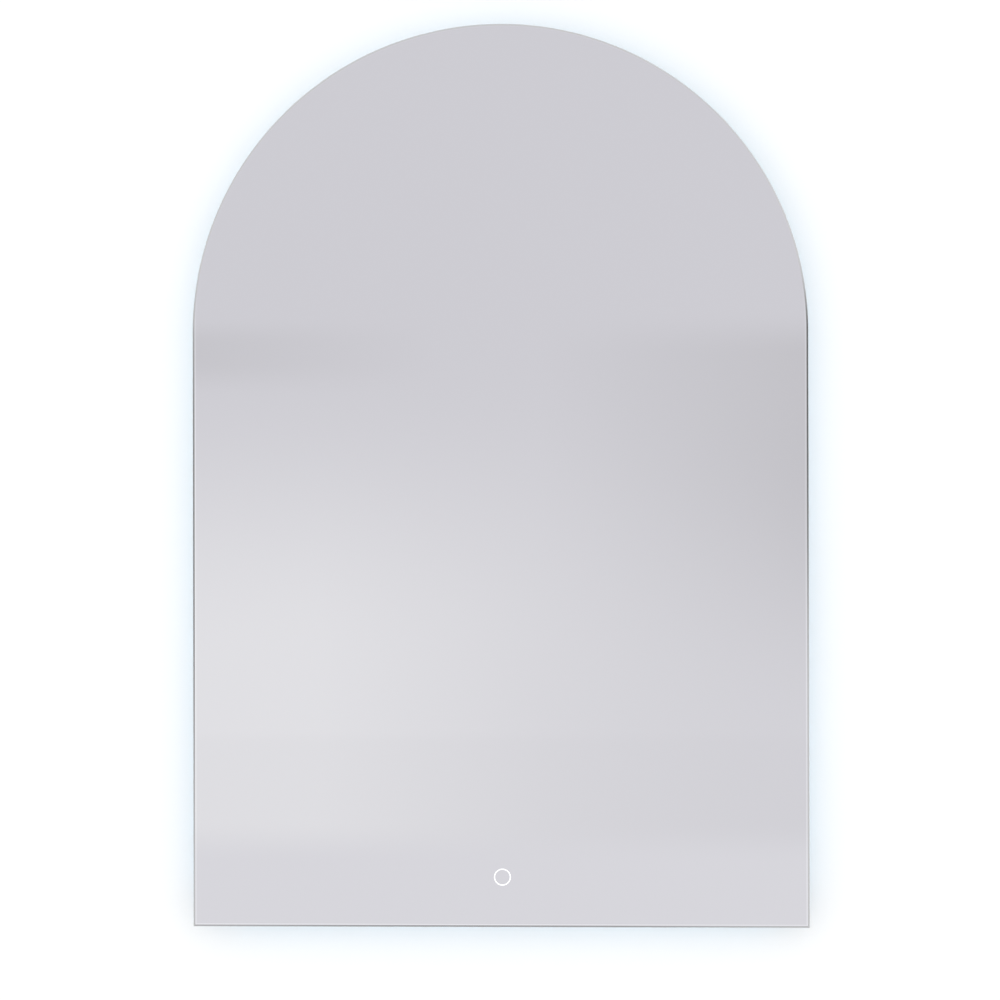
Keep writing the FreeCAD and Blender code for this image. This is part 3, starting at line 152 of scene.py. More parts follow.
class CameraSettings(bpy.types.PropertyGroup):
    place: FloatVectorProperty(
        name="Camera place", description="Where the camera stands", subtype="TRANSLATION",
        unit="LENGTH", default=(0.0799, -2.9125, -0.1811))
    pan: turn("Pan", "Turn to the left", 1.585)
    tilt: turn("Tilt", "Turn upwards", 0.213)
    roll: turn("Roll", "Turn about the view", 0.123)
    lens: FloatProperty(
        name="Lens", description="Focal length in millimetres", default=85.0, min=1)


SETTINGS = {
    "mirror_pane": PaneSettings,
    "mirror_metal": MetalSettings,
    "mirror_plastic": PlasticSettings,
    "mirror_light": LightSettings,
    "mirror_camera": CameraSettings,
}


def settings(name):
    return getattr(bpy.context.scene, name)


def metal(field):
    return tuple(getattr(settings("mirror_metal"), field))


def plastic(field):
    return tuple(getattr(settings("mirror_plastic"), field))


# ---------------------------------------------------------------- finishes
class Nodes:
    """A node tree in the making."""

    def __init__(self, tree):
        self.tree = tree

    def add(self, kind, options=(), **inputs):
        """A node, its options set and its inputs given a value or another node's output."""
        node = self.tree.nodes.new(kind)
        for name, value in dict(options).items():
            setattr(node, name, value)
        for name, value in inputs.items():
            self.give(node.inputs[name.replace("_", " ")], value)
        return node

    def give(self, socket, value):
        if isinstance(value, bpy.types.NodeSocket):
            self.tree.links.new(value, socket)
        else:
            socket.default_value = value

    def math(self, operation, first, second=0.0):
        node = self.tree.nodes.new("ShaderNodeMath")
        node.operation = operation
        for socket, value in zip(node.inputs, (first, second)):
            self.give(socket, value)
        return node.outputs[0]

    def between(self, value, low, high, to_low=0.0, to_high=1.0, smooth=False):
        """The value's way from low to high, as a number from to_low to to_high."""
        node = self.add(
            "ShaderNodeMapRange", {"interpolation_type": "SMOOTHSTEP" if smooth else "LINEAR"},
            Value=value, From_Min=low, From_Max=high, To_Min=to_low, To_Max=to_high)
        return node.outputs["Result"]


class Finish(Nodes):
    """A procedural material in the making. Patterns are placed in metres of the object's own space."""

    def __init__(self, name):
        self.material = bpy.data.materials.new(name)
        self.material.use_nodes = True
        super().__init__(self.material.node_tree)
        self.surface = self.tree.nodes["Principled BSDF"]
        self.place = self.tree.nodes.new("ShaderNodeTexCoord").outputs["Object"]

    def shade(self, **values):
        """Sets the surface's own inputs."""
        for name, value in values.items():
            if name.endswith("_Color") and not isinstance(value, bpy.types.NodeSocket):
                value = (*value, 1)
            self.give(self.surface.inputs[name.replace("_", " ")], value)
        return self

    def weighed(self, first, share, second):
        """A share of the first value and the rest of the second."""
        return self.math(
            "ADD", self.math("MULTIPLY", first, share), self.math("MULTIPLY", second, 1 - share))

    def axes(self):
        return self.add("ShaderNodeSeparateXYZ", Vector=self.place).outputs

    def stretched(self, x, y, z):
        """The place scaled along each axis."""
        return self.add("ShaderNodeMapping", Vector=self.place, Scale=(x, y, z)).outputs["Vector"]

    def noise(self, size, detail, place=None):
        """Soft noise whose grains are about that size, from 0 to 1."""
        node = self.add(
            "ShaderNodeTexNoise", Vector=place or self.place, Scale=1 / size, Detail=detail,
            Roughness=NOISE_ROUGHNESS)
        return node.outputs["Fac"]

    def cells(self, size):
        """Distance to the nearest of scattered points, about a size apart."""
        node = self.add("ShaderNodeTexVoronoi", Vector=self.place, Scale=1 / size)
        return node.outputs["Distance"]

    def spread(self, noise, low=0.0, high=1.0):
        """Noise spread over the numbers from low to high."""
        return self.between(noise, *NOISE_BAND, low, high)

    def mixed(self, factor, first, second):
        """A colour between two colours."""
        node = self.tree.nodes.new("ShaderNodeMix")
        node.data_type = "RGBA"
        first_socket, second_socket = [s for s in node.inputs if s.type == "RGBA"]
        for socket, value in ((first_socket, first), (second_socket, second)):
            self.give(socket, value if isinstance(value, bpy.types.NodeSocket) else (*value, 1))
        self.give(node.inputs["Factor"], factor)
        return [s for s in node.outputs if s.type == "RGBA"][0]

    def toned(self, factor, pigment, darker, lighter):
        """A pigment between a darker and a lighter tint of itself."""
        return self.mixed(factor, tinted(pigment, darker), tinted(pigment, lighter))

    def relief(self, height, depth, strength):
        """Bump of a depth in metres."""
        bump = self.add("ShaderNodeBump", Strength=strength, Distance=depth, Height=height)
        self.give(self.surface.inputs["Normal"], bump.outputs["Normal"])
        return self

    def inset(self):
        """Distance inside the pane's outline, which runs along both sides, the arch and the foot."""
        x, _, z = self.axes()
        across = self.math("ABSOLUTE", x)
        above = self.math("MAXIMUM", self.math("SUBTRACT", z, SPRING_Z), 0.0)
        radius = self.math("SQRT", self.math(
            "ADD", self.math("MULTIPLY", across, across), self.math("MULTIPLY", above, above)))
        from_side = self.math("SUBTRACT", HALF_WIDTH, radius)
        from_bottom = self.math("SUBTRACT", z, BOTTOM_Z)
        return self.math("MINIMUM", from_side, from_bottom)


def tinted(pigment, factor):
    return tuple(min(channel * factor, 1.0) for channel in pigment)


def silvered_mirror():
    """Silver behind clear glass, with the faintest haze of wiping."""
    finish = Finish("silvered_mirror")
    haze = finish.noise(0.09, 4, finish.stretched(1.0, 1.0, 0.35))
    return finish.shade(
        Base_Color=tuple(settings("mirror_pane").silver), Metallic=1.0,
        Roughness=finish.spread(haze, 0.010, 0.035)).material


def polished_edge():
    """Ground and polished glass edge, with the fine grain of its grinding."""
    finish = Finish("polished_edge")
    grinding = finish.noise(0.0004, 2)
    return finish.shade(
        Base_Color=tuple(settings("mirror_pane").edge), Metallic=1.0,
        Roughness=finish.spread(grinding, 0.10, 0.20)).material


def edge_light():
    """Line of silver beside the edge; below the arch it has a painted glow, emission that stands in for
    light caught from behind.
    """
    finish = Finish("edge_light")
    haze = finish.noise(0.02, 3)
    fade_from, fade_to = SPRING_Z + 0.05, SPRING_Z - 0.02
    # Painted glow: emission that fades in below the arch, in place of light caught from behind.
    painted_glow = finish.between(
        finish.axes()[2], fade_from, fade_to, 0.0, settings("mirror_pane").edge_light)
    return finish.shade(
        Base_Color=tuple(settings("mirror_pane").silver), Metallic=1.0,
        Roughness=finish.spread(haze, 0.01, 0.04), Emission_Color=(0.96, 1.0, 1.0),
        Emission_Strength=painted_glow).material


def ring_light():
    """Touch ring, lit from behind through the etched line."""
    finish = Finish("ring_light")
    grain = finish.noise(0.0006, 2)
    return finish.shade(
        Base_Color=finish.mixed(grain, (0.80, 0.81, 0.83), (0.84, 0.85, 0.86)), Roughness=0.6,
        Emission_Color=(1.0, 1.0, 1.0),
        Emission_Strength=settings("mirror_light").ring_strength).material


def backing_film():
    """Satin safety film over paint, slightly rippled where it was rolled on."""
    finish = Finish("backing_film")
    ripples = finish.noise(0.05, 4, finish.stretched(1.0, 1.0, 0.25))
    weave = finish.noise(0.0011, 2)
    finish.shade(
        Base_Color=finish.toned(finish.between(ripples, 0.35, 0.7), plastic("film"), 0.93, 1.06),
        Roughness=finish.spread(weave, 0.34, 0.46), Sheen_Weight=0.05)
    return finish.relief(finish.weighed(ripples, 0.8, weave), depth=0.0006, strength=0.5).material


def foam_tape():
    finish = Finish("foam_tape")
    pores = finish.cells(0.0008)
    # The base colour is darker at each pore: painted shade in the pores. The same pores also shape the
    # bump.
    finish.shade(
        Base_Color=finish.mixed(
            finish.between(pores, 0.1, 0.6), (0.50, 0.50, 0.48), (0.78, 0.78, 0.76)),
        Roughness=0.9)
    return finish.relief(pores, depth=0.0002, strength=0.6).material


def anodised_aluminium():
    """Satin anodising over the fine lines that the die leaves along the whole extrusion."""
    finish = Finish("anodised_aluminium")
    _, y, _ = finish.axes()
    section = finish.add("ShaderNodeCombineXYZ", X=finish.inset(), Y=y).outputs["Vector"]
    lines = finish.noise(0.0007, 3, section)
    satin = finish.noise(0.0004, 2)
    bloom = finish.noise(0.12, 3)
    finish.shade(
        Base_Color=finish.toned(finish.spread(bloom), metal("aluminium"), 0.96, 1.03), Metallic=1.0,
        Roughness=finish.math("ADD", finish.spread(lines, 0.24, 0.36), finish.spread(satin, 0.0, 0.05)))
    return finish.relief(lines, depth=0.00003, strength=0.7).material


def zinc_plate():
    """Zinc plated sheet steel with a faint warm bloom and rolling lines."""
    finish = Finish("zinc_plate")
    bloom = finish.noise(0.035, 4)
    spangle = finish.cells(0.004)
    rolling = finish.noise(0.0008, 2, finish.stretched(0.02, 1.0, 1.0))
    patch = finish.weighed(bloom, 0.75, spangle)
    finish.shade(
        Base_Color=finish.mixed(finish.between(patch, 0.35, 0.7), metal("zinc"), metal("zinc_warm")),
        Metallic=1.0, Roughness=finish.spread(rolling, 0.26, 0.40))
    return finish.relief(rolling, depth=0.00002, strength=0.6).material


def screw_zinc():
    finish = Finish("screw_zinc")
    forging = finish.noise(0.0012, 3)
    return finish.shade(
        Base_Color=finish.toned(forging, metal("screw"), 0.9, 1.08), Metallic=1.0,
        Roughness=finish.spread(forging, 0.18, 0.30)).material


def brass():
    finish = Finish("brass")
    tarnish = finish.noise(0.002, 3)
    return finish.shade(
        Base_Color=finish.toned(tarnish, metal("brass"), 0.85, 1.05), Metallic=1.0,
        Roughness=finish.spread(tarnish, 0.2, 0.34)).material


def rubber():
    """Dusty black rubber."""
    finish = Finish("rubber")
    dust = finish.noise(0.006, 4)
    grain = finish.noise(0.0003, 2)
    finish.shade(
        Base_Color=finish.toned(finish.between(dust, 0.45, 0.75), plastic("rubber"), 1.0, 1.9),
        Roughness=finish.spread(dust, 0.62, 0.8))
    return finish.relief(grain, depth=0.00004, strength=0.6).material


def moulded(name, pigment, roughness=0.42, grain_size=0.0005):
    """Injection moulded plastic: spark-eroded grain and a slight unevenness of tone."""
    finish = Finish(name)
    grain = finish.noise(grain_size, 2)
    flow = finish.noise(0.03, 3)
    finish.shade(
        Base_Color=finish.toned(finish.spread(flow), pigment, 0.965, 1.025),
        Roughness=finish.spread(grain, roughness - 0.05, roughness + 0.06))
    return finish.relief(grain, depth=0.00004, strength=0.7).material


def opal_diffuser():
    """Opal strip lit from inside, with the faintest clouding."""
    finish = Finish("opal_diffuser")
    light = settings("mirror_light")
    cloud = finish.noise(0.012, 2)
    return finish.shade(
        Base_Color=finish.mixed(cloud, (0.80, 0.84, 0.88), (0.86, 0.89, 0.92)), Roughness=0.45,
        Emission_Color=tuple(light.glow),
        Emission_Strength=finish.spread(
            cloud, 0.96 * light.glow_strength, 1.04 * light.glow_strength)).material


def strip_board():
    finish = Finish("strip_board")
    mask = finish.noise(0.004, 3)
    return finish.shade(
        Base_Color=finish.mixed(mask, (0.80, 0.80, 0.79), (0.88, 0.88, 0.87)), Roughness=0.4).material


def phosphor():
    finish = Finish("phosphor")
    resin = finish.noise(0.0008, 2)
    return finish.shade(
        Base_Color=finish.mixed(resin, (0.86, 0.74, 0.20), (0.93, 0.85, 0.35)), Roughness=0.25,
        Coat_Weight=0.4).material


def circuit_board():
    """Green solder mask over tracks and ground planes."""
    finish = Finish("circuit_board")
    tracks = finish.add(
        "ShaderNodeTexBrick", Vector=finish.place, Scale=180.0, Mortar_Size=0.05,
        Color1=(0.05, 0.20, 0.09, 1), Color2=(0.04, 0.16, 0.07, 1), Mortar=(0.09, 0.30, 0.14, 1))
    return finish.shade(Base_Color=tracks.outputs["Color"], Roughness=0.3, Coat_Weight=0.3).material


def demister_film():
    """Amber laminated film with fine cross ribs and slow ripples."""
    finish = Finish("demister_film")
    ripples = finish.noise(0.07, 3)
    ribs = finish.noise(0.0013, 2, finish.stretched(0.12, 1.0, 1.0))
    finish.shade(
        Base_Color=finish.toned(finish.spread(ripples), plastic("amber"), 0.86, 1.12),
        Roughness=finish.spread(ribs, 0.20, 0.32), Coat_Weight=0.25)
    return finish.relief(finish.weighed(ripples, 0.85, ribs), depth=0.0008, strength=0.5).material


def demister_track():
    finish = Finish("demister_track")
    etched = finish.noise(0.0007, 3)
    finish.shade(
        Base_Color=finish.toned(etched, plastic("track"), 0.8, 1.15), Metallic=0.55,
        Roughness=finish.spread(etched, 0.34, 0.5))
    return finish.relief(etched, depth=0.00003, strength=0.5).material


def frosted_guide():
    finish = Finish("frosted_guide")
    frost = finish.noise(0.0005, 3)
    return finish.shade(
        Base_Color=finish.mixed(frost, (0.86, 0.88, 0.90), (0.95, 0.96, 0.97)),
        Roughness=finish.spread(frost, 0.35, 0.55)).material


FINISHES = {
    "silvered_glass": silvered_mirror,
    "backing_film": backing_film,
    "foam_tape": foam_tape,
    "frame_aluminium": anodised_aluminium,
    "zinc_steel": zinc_plate,
    "screw_steel": screw_zinc,
    "foot_rubber": rubber,
    "seal_rubber": rubber,
    "opal_diffuser": opal_diffuser,
    "strip_board": strip_board,
    "led_phosphor": phosphor,
    "white_moulding": lambda: moulded("case_moulding", plastic("case")),
    "circuit_board": circuit_board,
    "driver_parts": lambda: moulded("component_moulding", (0.03, 0.03, 0.035), roughness=0.3),
    "terminal_moulding": lambda: moulded("terminal_nylon", plastic("terminal"), roughness=0.36),
    "terminal_brass": brass,
    "gland_nylon": lambda: moulded(
        "gland_nylon", plastic("gland"), roughness=0.38, grain_size=0.0004),
    "ring_light": frosted_guide,
    "demister_film": demister_film,
    "demister_track": demister_track,
    "terminal_cover": lambda: moulded("cover_moulding", plastic("cover"), roughness=0.4),
}
made_finishes = {}


def finish_of(slot):
    """The material for one of the record's slots, made once."""
    if slot not in made_finishes:
        made_finishes[slot] = FINISHES[slot]()
    return made_finishes[slot]


def slot_of(node):
    return next(s["material_slot"] for s in frame["record"]["subparts"] if s["node"] == node)


# ---------------------------------------------------------------- modelling tools
def deselect_all():
    if bpy.context.object and bpy.context.object.mode != "OBJECT":
        bpy.ops.object.mode_set(mode="OBJECT")
    for piece in bpy.context.selected_objects:
        piece.select_set(False)


def take(piece):
    """Makes one object the only selected and active one."""
    deselect_all()
    bpy.context.view_layer.objects.active = piece
    piece.select_set(True)


def named(name):
    """Names the object that an operator has just added."""
    piece = bpy.context.object
    piece.name = name
    piece.data.name = name
    return piece


def editing(piece):
    """Starts edit mode with nothing selected."""
    take(piece)
    bpy.ops.object.mode_set(mode="EDIT")
    bpy.ops.mesh.select_all(action="DESELECT")


def pick(piece, kind, test):
    """Selects the faces, edges or vertices that pass the test. Call it in edit mode."""
    bpy.ops.mesh.select_mode(type={"faces": "FACE", "edges": "EDGE", "verts": "VERT"}[kind])
    bpy.ops.mesh.select_all(action="DESELECT")
    shape = bmesh.from_edit_mesh(piece.data)
    for element in getattr(shape, kind):
        if test(element):
            element.select_set(True)
    shape.select_flush_mode()
    bmesh.update_edit_mesh(piece.data)


def finished_editing(piece):
    """Leaves edit mode."""
    bpy.ops.object.mode_set(mode="OBJECT")
    return piece


def settle(piece):
    """Puts the piece's place, turn and scale into its mesh."""
    take(piece)
    bpy.ops.object.transform_apply(location=True, rotation=True, scale=True)
    return piece


def circle(name, vertices, radius, middle):
    """An open circle that faces along Y."""
    bpy.ops.mesh.primitive_circle_add(
        vertices=vertices, radius=radius, fill_type="NOTHING", location=middle,
        rotation=(QUARTER_TURN, 0, 0))
    return settle(named(name))


def cylinder(name, vertices, radius, height):
    """A cylinder that runs along Y from zero."""
    bpy.ops.mesh.primitive_cylinder_add(
        vertices=vertices, radius=radius, depth=height, location=(0, height / 2, 0),
        rotation=(QUARTER_TURN, 0, 0))
    return settle(named(name))


def pick_all():
    bpy.ops.mesh.select_all(action="SELECT")


def extruded(depth):
    """Extrudes what is picked along Y."""
    bpy.ops.mesh.extrude_region_move(TRANSFORM_OT_translate={"value": (0, depth, 0)})


def narrowed(share):
    """Scales what is picked towards the Y axis."""
    bpy.ops.transform.resize(value=(share, 1, share), center_override=(0, 0, 0))


def modified(piece, kind, **values):
    """Adds a modifier, sets it and applies it."""
    take(piece)
    bpy.ops.object.modifier_add(type=kind)
    modifier = piece.modifiers[-1]
    for name, value in values.items():
        setattr(modifier, name, value)
    bpy.ops.object.modifier_apply(modifier=modifier.name)


def rounded(piece, width, segments):
    """Small rounds on every sharp edge, then smooth shading that keeps the large faces flat."""
    modified(
        piece, "BEVEL", width=width, segments=segments, limit_method="ANGLE",
        angle_limit=math.radians(ROUND_ANGLE), use_clamp_overlap=True)
    smoothed(piece)
    modified(piece, "WEIGHTED_NORMAL", keep_sharp=True, weight=FACE_WEIGHT)


def smoothed(piece, angle=SMOOTH_ANGLE):
    take(piece)
    bpy.ops.object.shade_smooth_by_angle(angle=math.radians(angle))
    return piece


def copied(piece, name, offset):
    """A copy with its own mesh, moved by an offset."""
    take(piece)
    bpy.ops.object.duplicate()
    copy = named(name)
    copy.location = offset
    return settle(copy)


def cut(piece, cutter):
    """Cuts the cutter's shape out of the piece and removes the cutter."""
    modified(piece, "BOOLEAN", object=cutter, operation="DIFFERENCE", solver="EXACT")
    bpy.data.objects.remove(cutter)


def clad(piece, *materials):
    piece.data.materials.clear()
    for material in materials:
        piece.data.materials.append(material)


def mounted(piece, body, slot, *nodes):
    """The piece rides on a body and stands for the nodes. The slot is not used."""
    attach(piece, body)
    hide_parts(*nodes)


def body_of(node):
    bodies = frame["record"]["behaviour"]["bodies"]
    return next(name for name, members in bodies.items() if node in members)


def carried(*nodes):
    """Frame nodes that stay as they are, each with its finish."""
    for node in nodes:
        piece = frame["nodes"][node]
        material = finish_of(slot_of(node))
        if not piece.material_slots:
            piece.data.materials.append(material)
        for place in piece.material_slots:
            place.material = material


def dressed(node, name, width, segments=2):
    """Models a merged copy of a frame node with its edges rounded, standing for the node."""
    source = frame["nodes"][node]
    take(source)
    bpy.ops.object.duplicate()
    piece = named(name)
    piece.parent = None
    for key in list(piece.keys()):
        if key.startswith("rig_"):
            del piece[key]
    editing(piece)
    pick_all()
    bpy.ops.mesh.remove_doubles(threshold=MERGE_DISTANCE)
    bpy.ops.mesh.dissolve_limited(angle_limit=math.radians(FLAT_ANGLE))
    finished_editing(piece)
    if piece.data.has_custom_normals:
        bpy.ops.mesh.customdata_custom_splitnormals_clear()
    rounded(piece, width, segments)
    clad(piece, finish_of(slot_of(node)))
    mounted(piece, body_of(node), slot_of(node), node)


def boxes_of(node, reach):
    """Low and high corner of each group of vertices in a node, from the foot up and from left to right.

    A vertex joins the first group whose first vertex is within the reach, seen from the front. That
    parts the solids of a node exactly only where they stand well clear of each other.
    """
    groups = []
    for vertex in frame["nodes"][node].data.vertices:
        for group in groups:
            if (vertex.co.xz - group[0].xz).length < reach:
                group.append(vertex.co)
                break
        else:
            groups.append([vertex.co])
    boxes = [
        (Vector(map(min, zip(*group))), Vector(map(max, zip(*group))))
        for group in groups
    ]
    return sorted(boxes, key=lambda box: (round(box[0].z, 4), box[0].x))


# ---------------------------------------------------------------- pane and touch ring
class LIT_MIRROR_OT_pane(bpy.types.Operator):
    """Models the pane with its polished edge and the touch ring set into its face"""
    bl_idname = "lit_mirror.pane"
    bl_label = "Pane and touch ring"

    arch_vertices = 720
    ring_vertices = 128
    cutter_rise = 0.001         # of the groove's cutter above the face
    ring_sink = 0.00002         # of the lit ring below the face
    shading_angle = 20          # degrees

    def outline(self):
        """The pane's outline as one face: a half circle with its two ends drawn down."""
        pane = circle("pane", self.arch_vertices, HALF_WIDTH, (0, GLASS_FRONT, SPRING_Z))
        editing(pane)
        pick(pane, "verts", lambda v: v.co.z < SPRING_Z - TINY)
        bpy.ops.mesh.delete(type="VERT")
        pick(pane, "verts", lambda v: v.co.z < SPRING_Z + TINY)
        bpy.ops.mesh.extrude_vertices_move(
            TRANSFORM_OT_translate={"value": (0, 0, BOTTOM_Z - SPRING_Z)})
        pick(pane, "verts", lambda v: v.co.z < BOTTOM_Z + TINY)
        bpy.ops.mesh.edge_face_add()
        pick_all()
        bpy.ops.mesh.edge_face_add()
        return pane

    def thickened(self, pane):
        """The pane's thickness, a 45 degree arris round both faces and the light line on the front."""
        wanted = settings("mirror_pane")
        extruded(GLASS_BACK - GLASS_FRONT)
        pick_all()
        bpy.ops.mesh.normals_make_consistent(inside=False)
        for depth, width in ((GLASS_FRONT, wanted.arris), (GLASS_BACK, wanted.back_arris)):
            pick(pane, "edges", lambda e: max(abs(v.co.y - depth) for v in e.verts) < TINY)
            bpy.ops.mesh.bevel(offset=width, offset_type="OFFSET", segments=1)
        pick(pane, "faces", lambda f: f.normal.y < -FLAT)
        bpy.ops.mesh.inset(thickness=wanted.edge_band, depth=0)
        return finished_editing(pane)

    def ring(self, name, front, back):
        """A flat ring about the touch symbol's middle, from one depth to another."""
        wanted = settings("mirror_pane")
        outer = wanted.ring_radius + wanted.ring_line / 2
        inner = wanted.ring_radius - wanted.ring_line / 2
        ring = circle(name, self.ring_vertices, outer, (RING_X, front, RING_Z))
        editing(ring)
        pick_all()
        bpy.ops.mesh.extrude_edges_move()
        share = inner / outer
        bpy.ops.transform.resize(value=(share, share, share), center_override=(RING_X, front, RING_Z))
        pick_all()
        extruded(back - front)
        pick_all()
        bpy.ops.mesh.normals_make_consistent(inside=False)
        return finished_editing(ring)

    def clad_pane(self, pane):
        """Silver on the face, the light line round it with its painted glow below the arch, polished
        glass on the edges.
        """
        wanted = settings("mirror_pane")
        clad(pane, finish_of("silvered_glass"), polished_edge(), edge_light())
        reach = wanted.arris + wanted.edge_band
        editing(pane)

        def on_band(face):
            middle = face.calc_center_median()
            above = max(middle.z - SPRING_Z, 0)
            from_side = HALF_WIDTH - math.hypot(middle.x, above)
            return face.normal.y < -FLAT and min(from_side, middle.z - BOTTOM_Z) < reach

        def on_edge(face):
            return abs(face.normal.y) < FLAT

        for index, test in ((1, on_edge), (2, on_band)):
            pick(pane, "faces", test)
            pane.active_material_index = index
            bpy.ops.object.material_slot_assign()
        finished_editing(pane)

    def execute(self, context):
        pane = self.thickened(self.outline())
        groove_floor = GLASS_FRONT + settings("mirror_pane").ring_depth
        cut(pane, self.ring("groove", GLASS_FRONT - self.cutter_rise, groove_floor))
        self.clad_pane(pane)
        smoothed(pane, self.shading_angle)
        mounted(pane, "mirror", "silvered_glass", "mirror_glass")
        line = self.ring("touch_ring", GLASS_FRONT + self.ring_sink, groove_floor)
        clad(smoothed(line), ring_light())
        mounted(line, "mirror", "silvered_glass", "mirror_glass")
        return {"FINISHED"}


class LIT_MIRROR_OT_backing(bpy.types.Operator):
    """Finishes the safety film on the pane's back and the tape that bonds the frame to it"""
    bl_idname = "lit_mirror.backing"
    bl_label = "Backing film and tape"

    def execute(self, context):
        carried("backing_film", "mounting_tape")
        return {"FINISHED"}


# ---------------------------------------------------------------- frame and light
class LIT_MIRROR_OT_channel(bpy.types.Operator):
    """Models the light channel's extrusions, mitred at the foot, and the keys behind the mitres"""
    bl_idname = "lit_mirror.channel"
    bl_label = "Light channel"

    die_round_share = 0.7       # of the round on cut edges

    def execute(self, context):
        edge = settings("mirror_metal").edge_round
        dressed("frame_arch", "channel_arch", edge * self.die_round_share, segments=1)
        dressed("frame_bottom", "channel_foot", edge * self.die_round_share, segments=1)
        dressed("corner_key_left", "key_left", edge)
        dressed("corner_key_right", "key_right", edge)
        return {"FINISHED"}


class LIT_MIRROR_OT_light(bpy.types.Operator):
    """Finishes the light strip and its chips and models the opal diffusers and the bush"""
    bl_idname = "lit_mirror.light"
    bl_label = "Light strip and diffusers"

    diffuser_share = 0.4        # of the round on mouldings
    bush_share = 0.6

    def execute(self, context):
        carried("led_strip", "led_chips")
        soft = settings("mirror_plastic").moulding_round
        dressed("diffuser_arch", "opal_arch", soft * self.diffuser_share, segments=1)
        dressed("diffuser_bottom", "opal_foot", soft * self.diffuser_share, segments=1)
        dressed("strip_bush", "bush", soft * self.bush_share)
        return {"FINISHED"}


# ---------------------------------------------------------------- rails, bracket and their screws
class LIT_MIRROR_OT_rails(bpy.types.Operator):
    """Models the two hooked rails and the folded bracket across the frame"""
    bl_idname = "lit_mirror.rails"
    bl_label = "Rails and bracket"

    def execute(self, context):
        edge = settings("mirror_metal").edge_round
        dressed("wall_rail", "rail_on_wall", edge)
        dressed("hanger_rail", "rail_on_frame", edge)
        dressed("equipment_bracket", "bracket", edge)
        return {"FINISHED"}


class LIT_MIRROR_OT_screws(bpy.types.Operator):
    """Models one cross-head screw of each size and sets copies of it where the frame has its screws"""
    bl_idname = "lit_mirror.screws"
    bl_label = "Screws"

    groups = {
        "corner_screws": "key_screw",
        "hanger_screws": "rail_screw",
        "bracket_screws": "bracket_screw",
        "case_screws": "case_screw",
        "lid_screws": "lid_screw",
    }
    solid_reach = 0.009
    vertices = 48

    # Shares of the head's width
    head_height_share = 0.297
    seat_share = 0.195          # from the seat's round to the shank
    blade_width_share = 0.56
    blade_thickness_share = 0.15

    # Shares of the head's height
    dome_share = 0.62
    seat_round_share = 0.07
    blade_height_share = 1.5
    dome_segments = 6
    seat_segments = 2

    # Shares of the shank's length and width
    straight_share = 0.8
    tip_width_share = 0.45

    blade_tip_share = 0.55      # of the blade's wide end
    shading_angle = 30          # degrees

    def recess_cutters(self, head, height):
        """Two crossed blades that taper towards their tips."""
        blades = []
        for index in range(2):
            bpy.ops.mesh.primitive_cube_add(size=1, location=(0, height, 0))
            blade = named("recess_blade")
            long = head * self.blade_width_share
            thin = head * self.blade_thickness_share
            deep = height * self.blade_height_share
            blade.scale = (long, deep, thin) if index else (thin, deep, long)
            settle(blade)
            editing(blade)
            pick(blade, "faces", lambda f: f.normal.y < -FLAT)
            narrowed(self.blade_tip_share)
            finished_editing(blade)
            blades.append(blade)
        return blades

    def screw(self, name, head, length):
        """A pan-head screw along Y: its seat at zero, its head above and its shank below."""
        height = head * self.head_height_share
        screw = cylinder(name, self.vertices, head / 2, height)
        editing(screw)
        pick(screw, "edges", lambda e: min(v.co.y for v in e.verts) > height - TINY)
        bpy.ops.mesh.bevel(offset=height * self.dome_share, segments=self.dome_segments)
        pick(screw, "edges", lambda e: max(v.co.y for v in e.verts) < TINY)
        bpy.ops.mesh.bevel(offset=height * self.seat_round_share, segments=self.seat_segments)
        pick(screw, "faces", lambda f: f.normal.y < -FLAT)
        bpy.ops.mesh.inset(thickness=head * self.seat_share, depth=0)
        extruded(-length * self.straight_share)
        extruded(-length * (1 - self.straight_share))
        narrowed(self.tip_width_share)
        finished_editing(screw)
        for blade in self.recess_cutters(head, height):
            cut(screw, blade)
        smoothed(screw, self.shading_angle)
        clad(screw, finish_of("screw_steel"))
        return screw

    def execute(self, context):
        for node, name in self.groups.items():
            boxes = boxes_of(node, self.solid_reach)
            low, high = boxes[0]
            head = high.x - low.x
            height = head * self.head_height_share
            pattern = self.screw(name, head, high.y - low.y - height)
            for number, (low, high) in enumerate(boxes, 1):
                middle = (low + high) / 2
                piece = copied(
                    pattern, f"{name}_{number}", (middle.x, high.y - height, middle.z))
                mounted(piece, body_of(node), slot_of(node), node)
            bpy.data.objects.remove(pattern)
        return {"FINISHED"}


# ---------------------------------------------------------------- electrical parts
# Shares of the usual round on mouldings
CASE_SHARE = 0.6
GLAND_SHARE = 0.35
COVER_SHARE = 0.8


class LIT_MIRROR_OT_driver(bpy.types.Operator):
    """Models the light driver's case and lid over its board"""
    bl_idname = "lit_mirror.driver"
    bl_label = "Light driver"

    def execute(self, context):
        soft = settings("mirror_plastic").moulding_round
        dressed("driver_case", "driver_tray", soft * CASE_SHARE)
        dressed("driver_lid", "driver_cover", soft * CASE_SHARE)
        carried("driver_board", "driver_parts")
        return {"FINISHED"}


class LIT_MIRROR_OT_terminal_box(bpy.types.Operator):
    """Models the terminal box, its lid and the cable gland in its lower wall"""
    bl_idname = "lit_mirror.terminal_box"
    bl_label = "Terminal box and gland"

    def execute(self, context):
        soft = settings("mirror_plastic").moulding_round
        dressed("terminal_box", "terminal_tray", soft * CASE_SHARE)
        dressed("terminal_lid", "terminal_cover", soft * CASE_SHARE)
        dressed("gland_body", "gland_hexagon", soft * GLAND_SHARE)
        dressed("gland_cap", "gland_dome", soft * GLAND_SHARE)
        carried("terminal_block", "terminal_screws", "gland_locknut", "gland_seal")
        return {"FINISHED"}


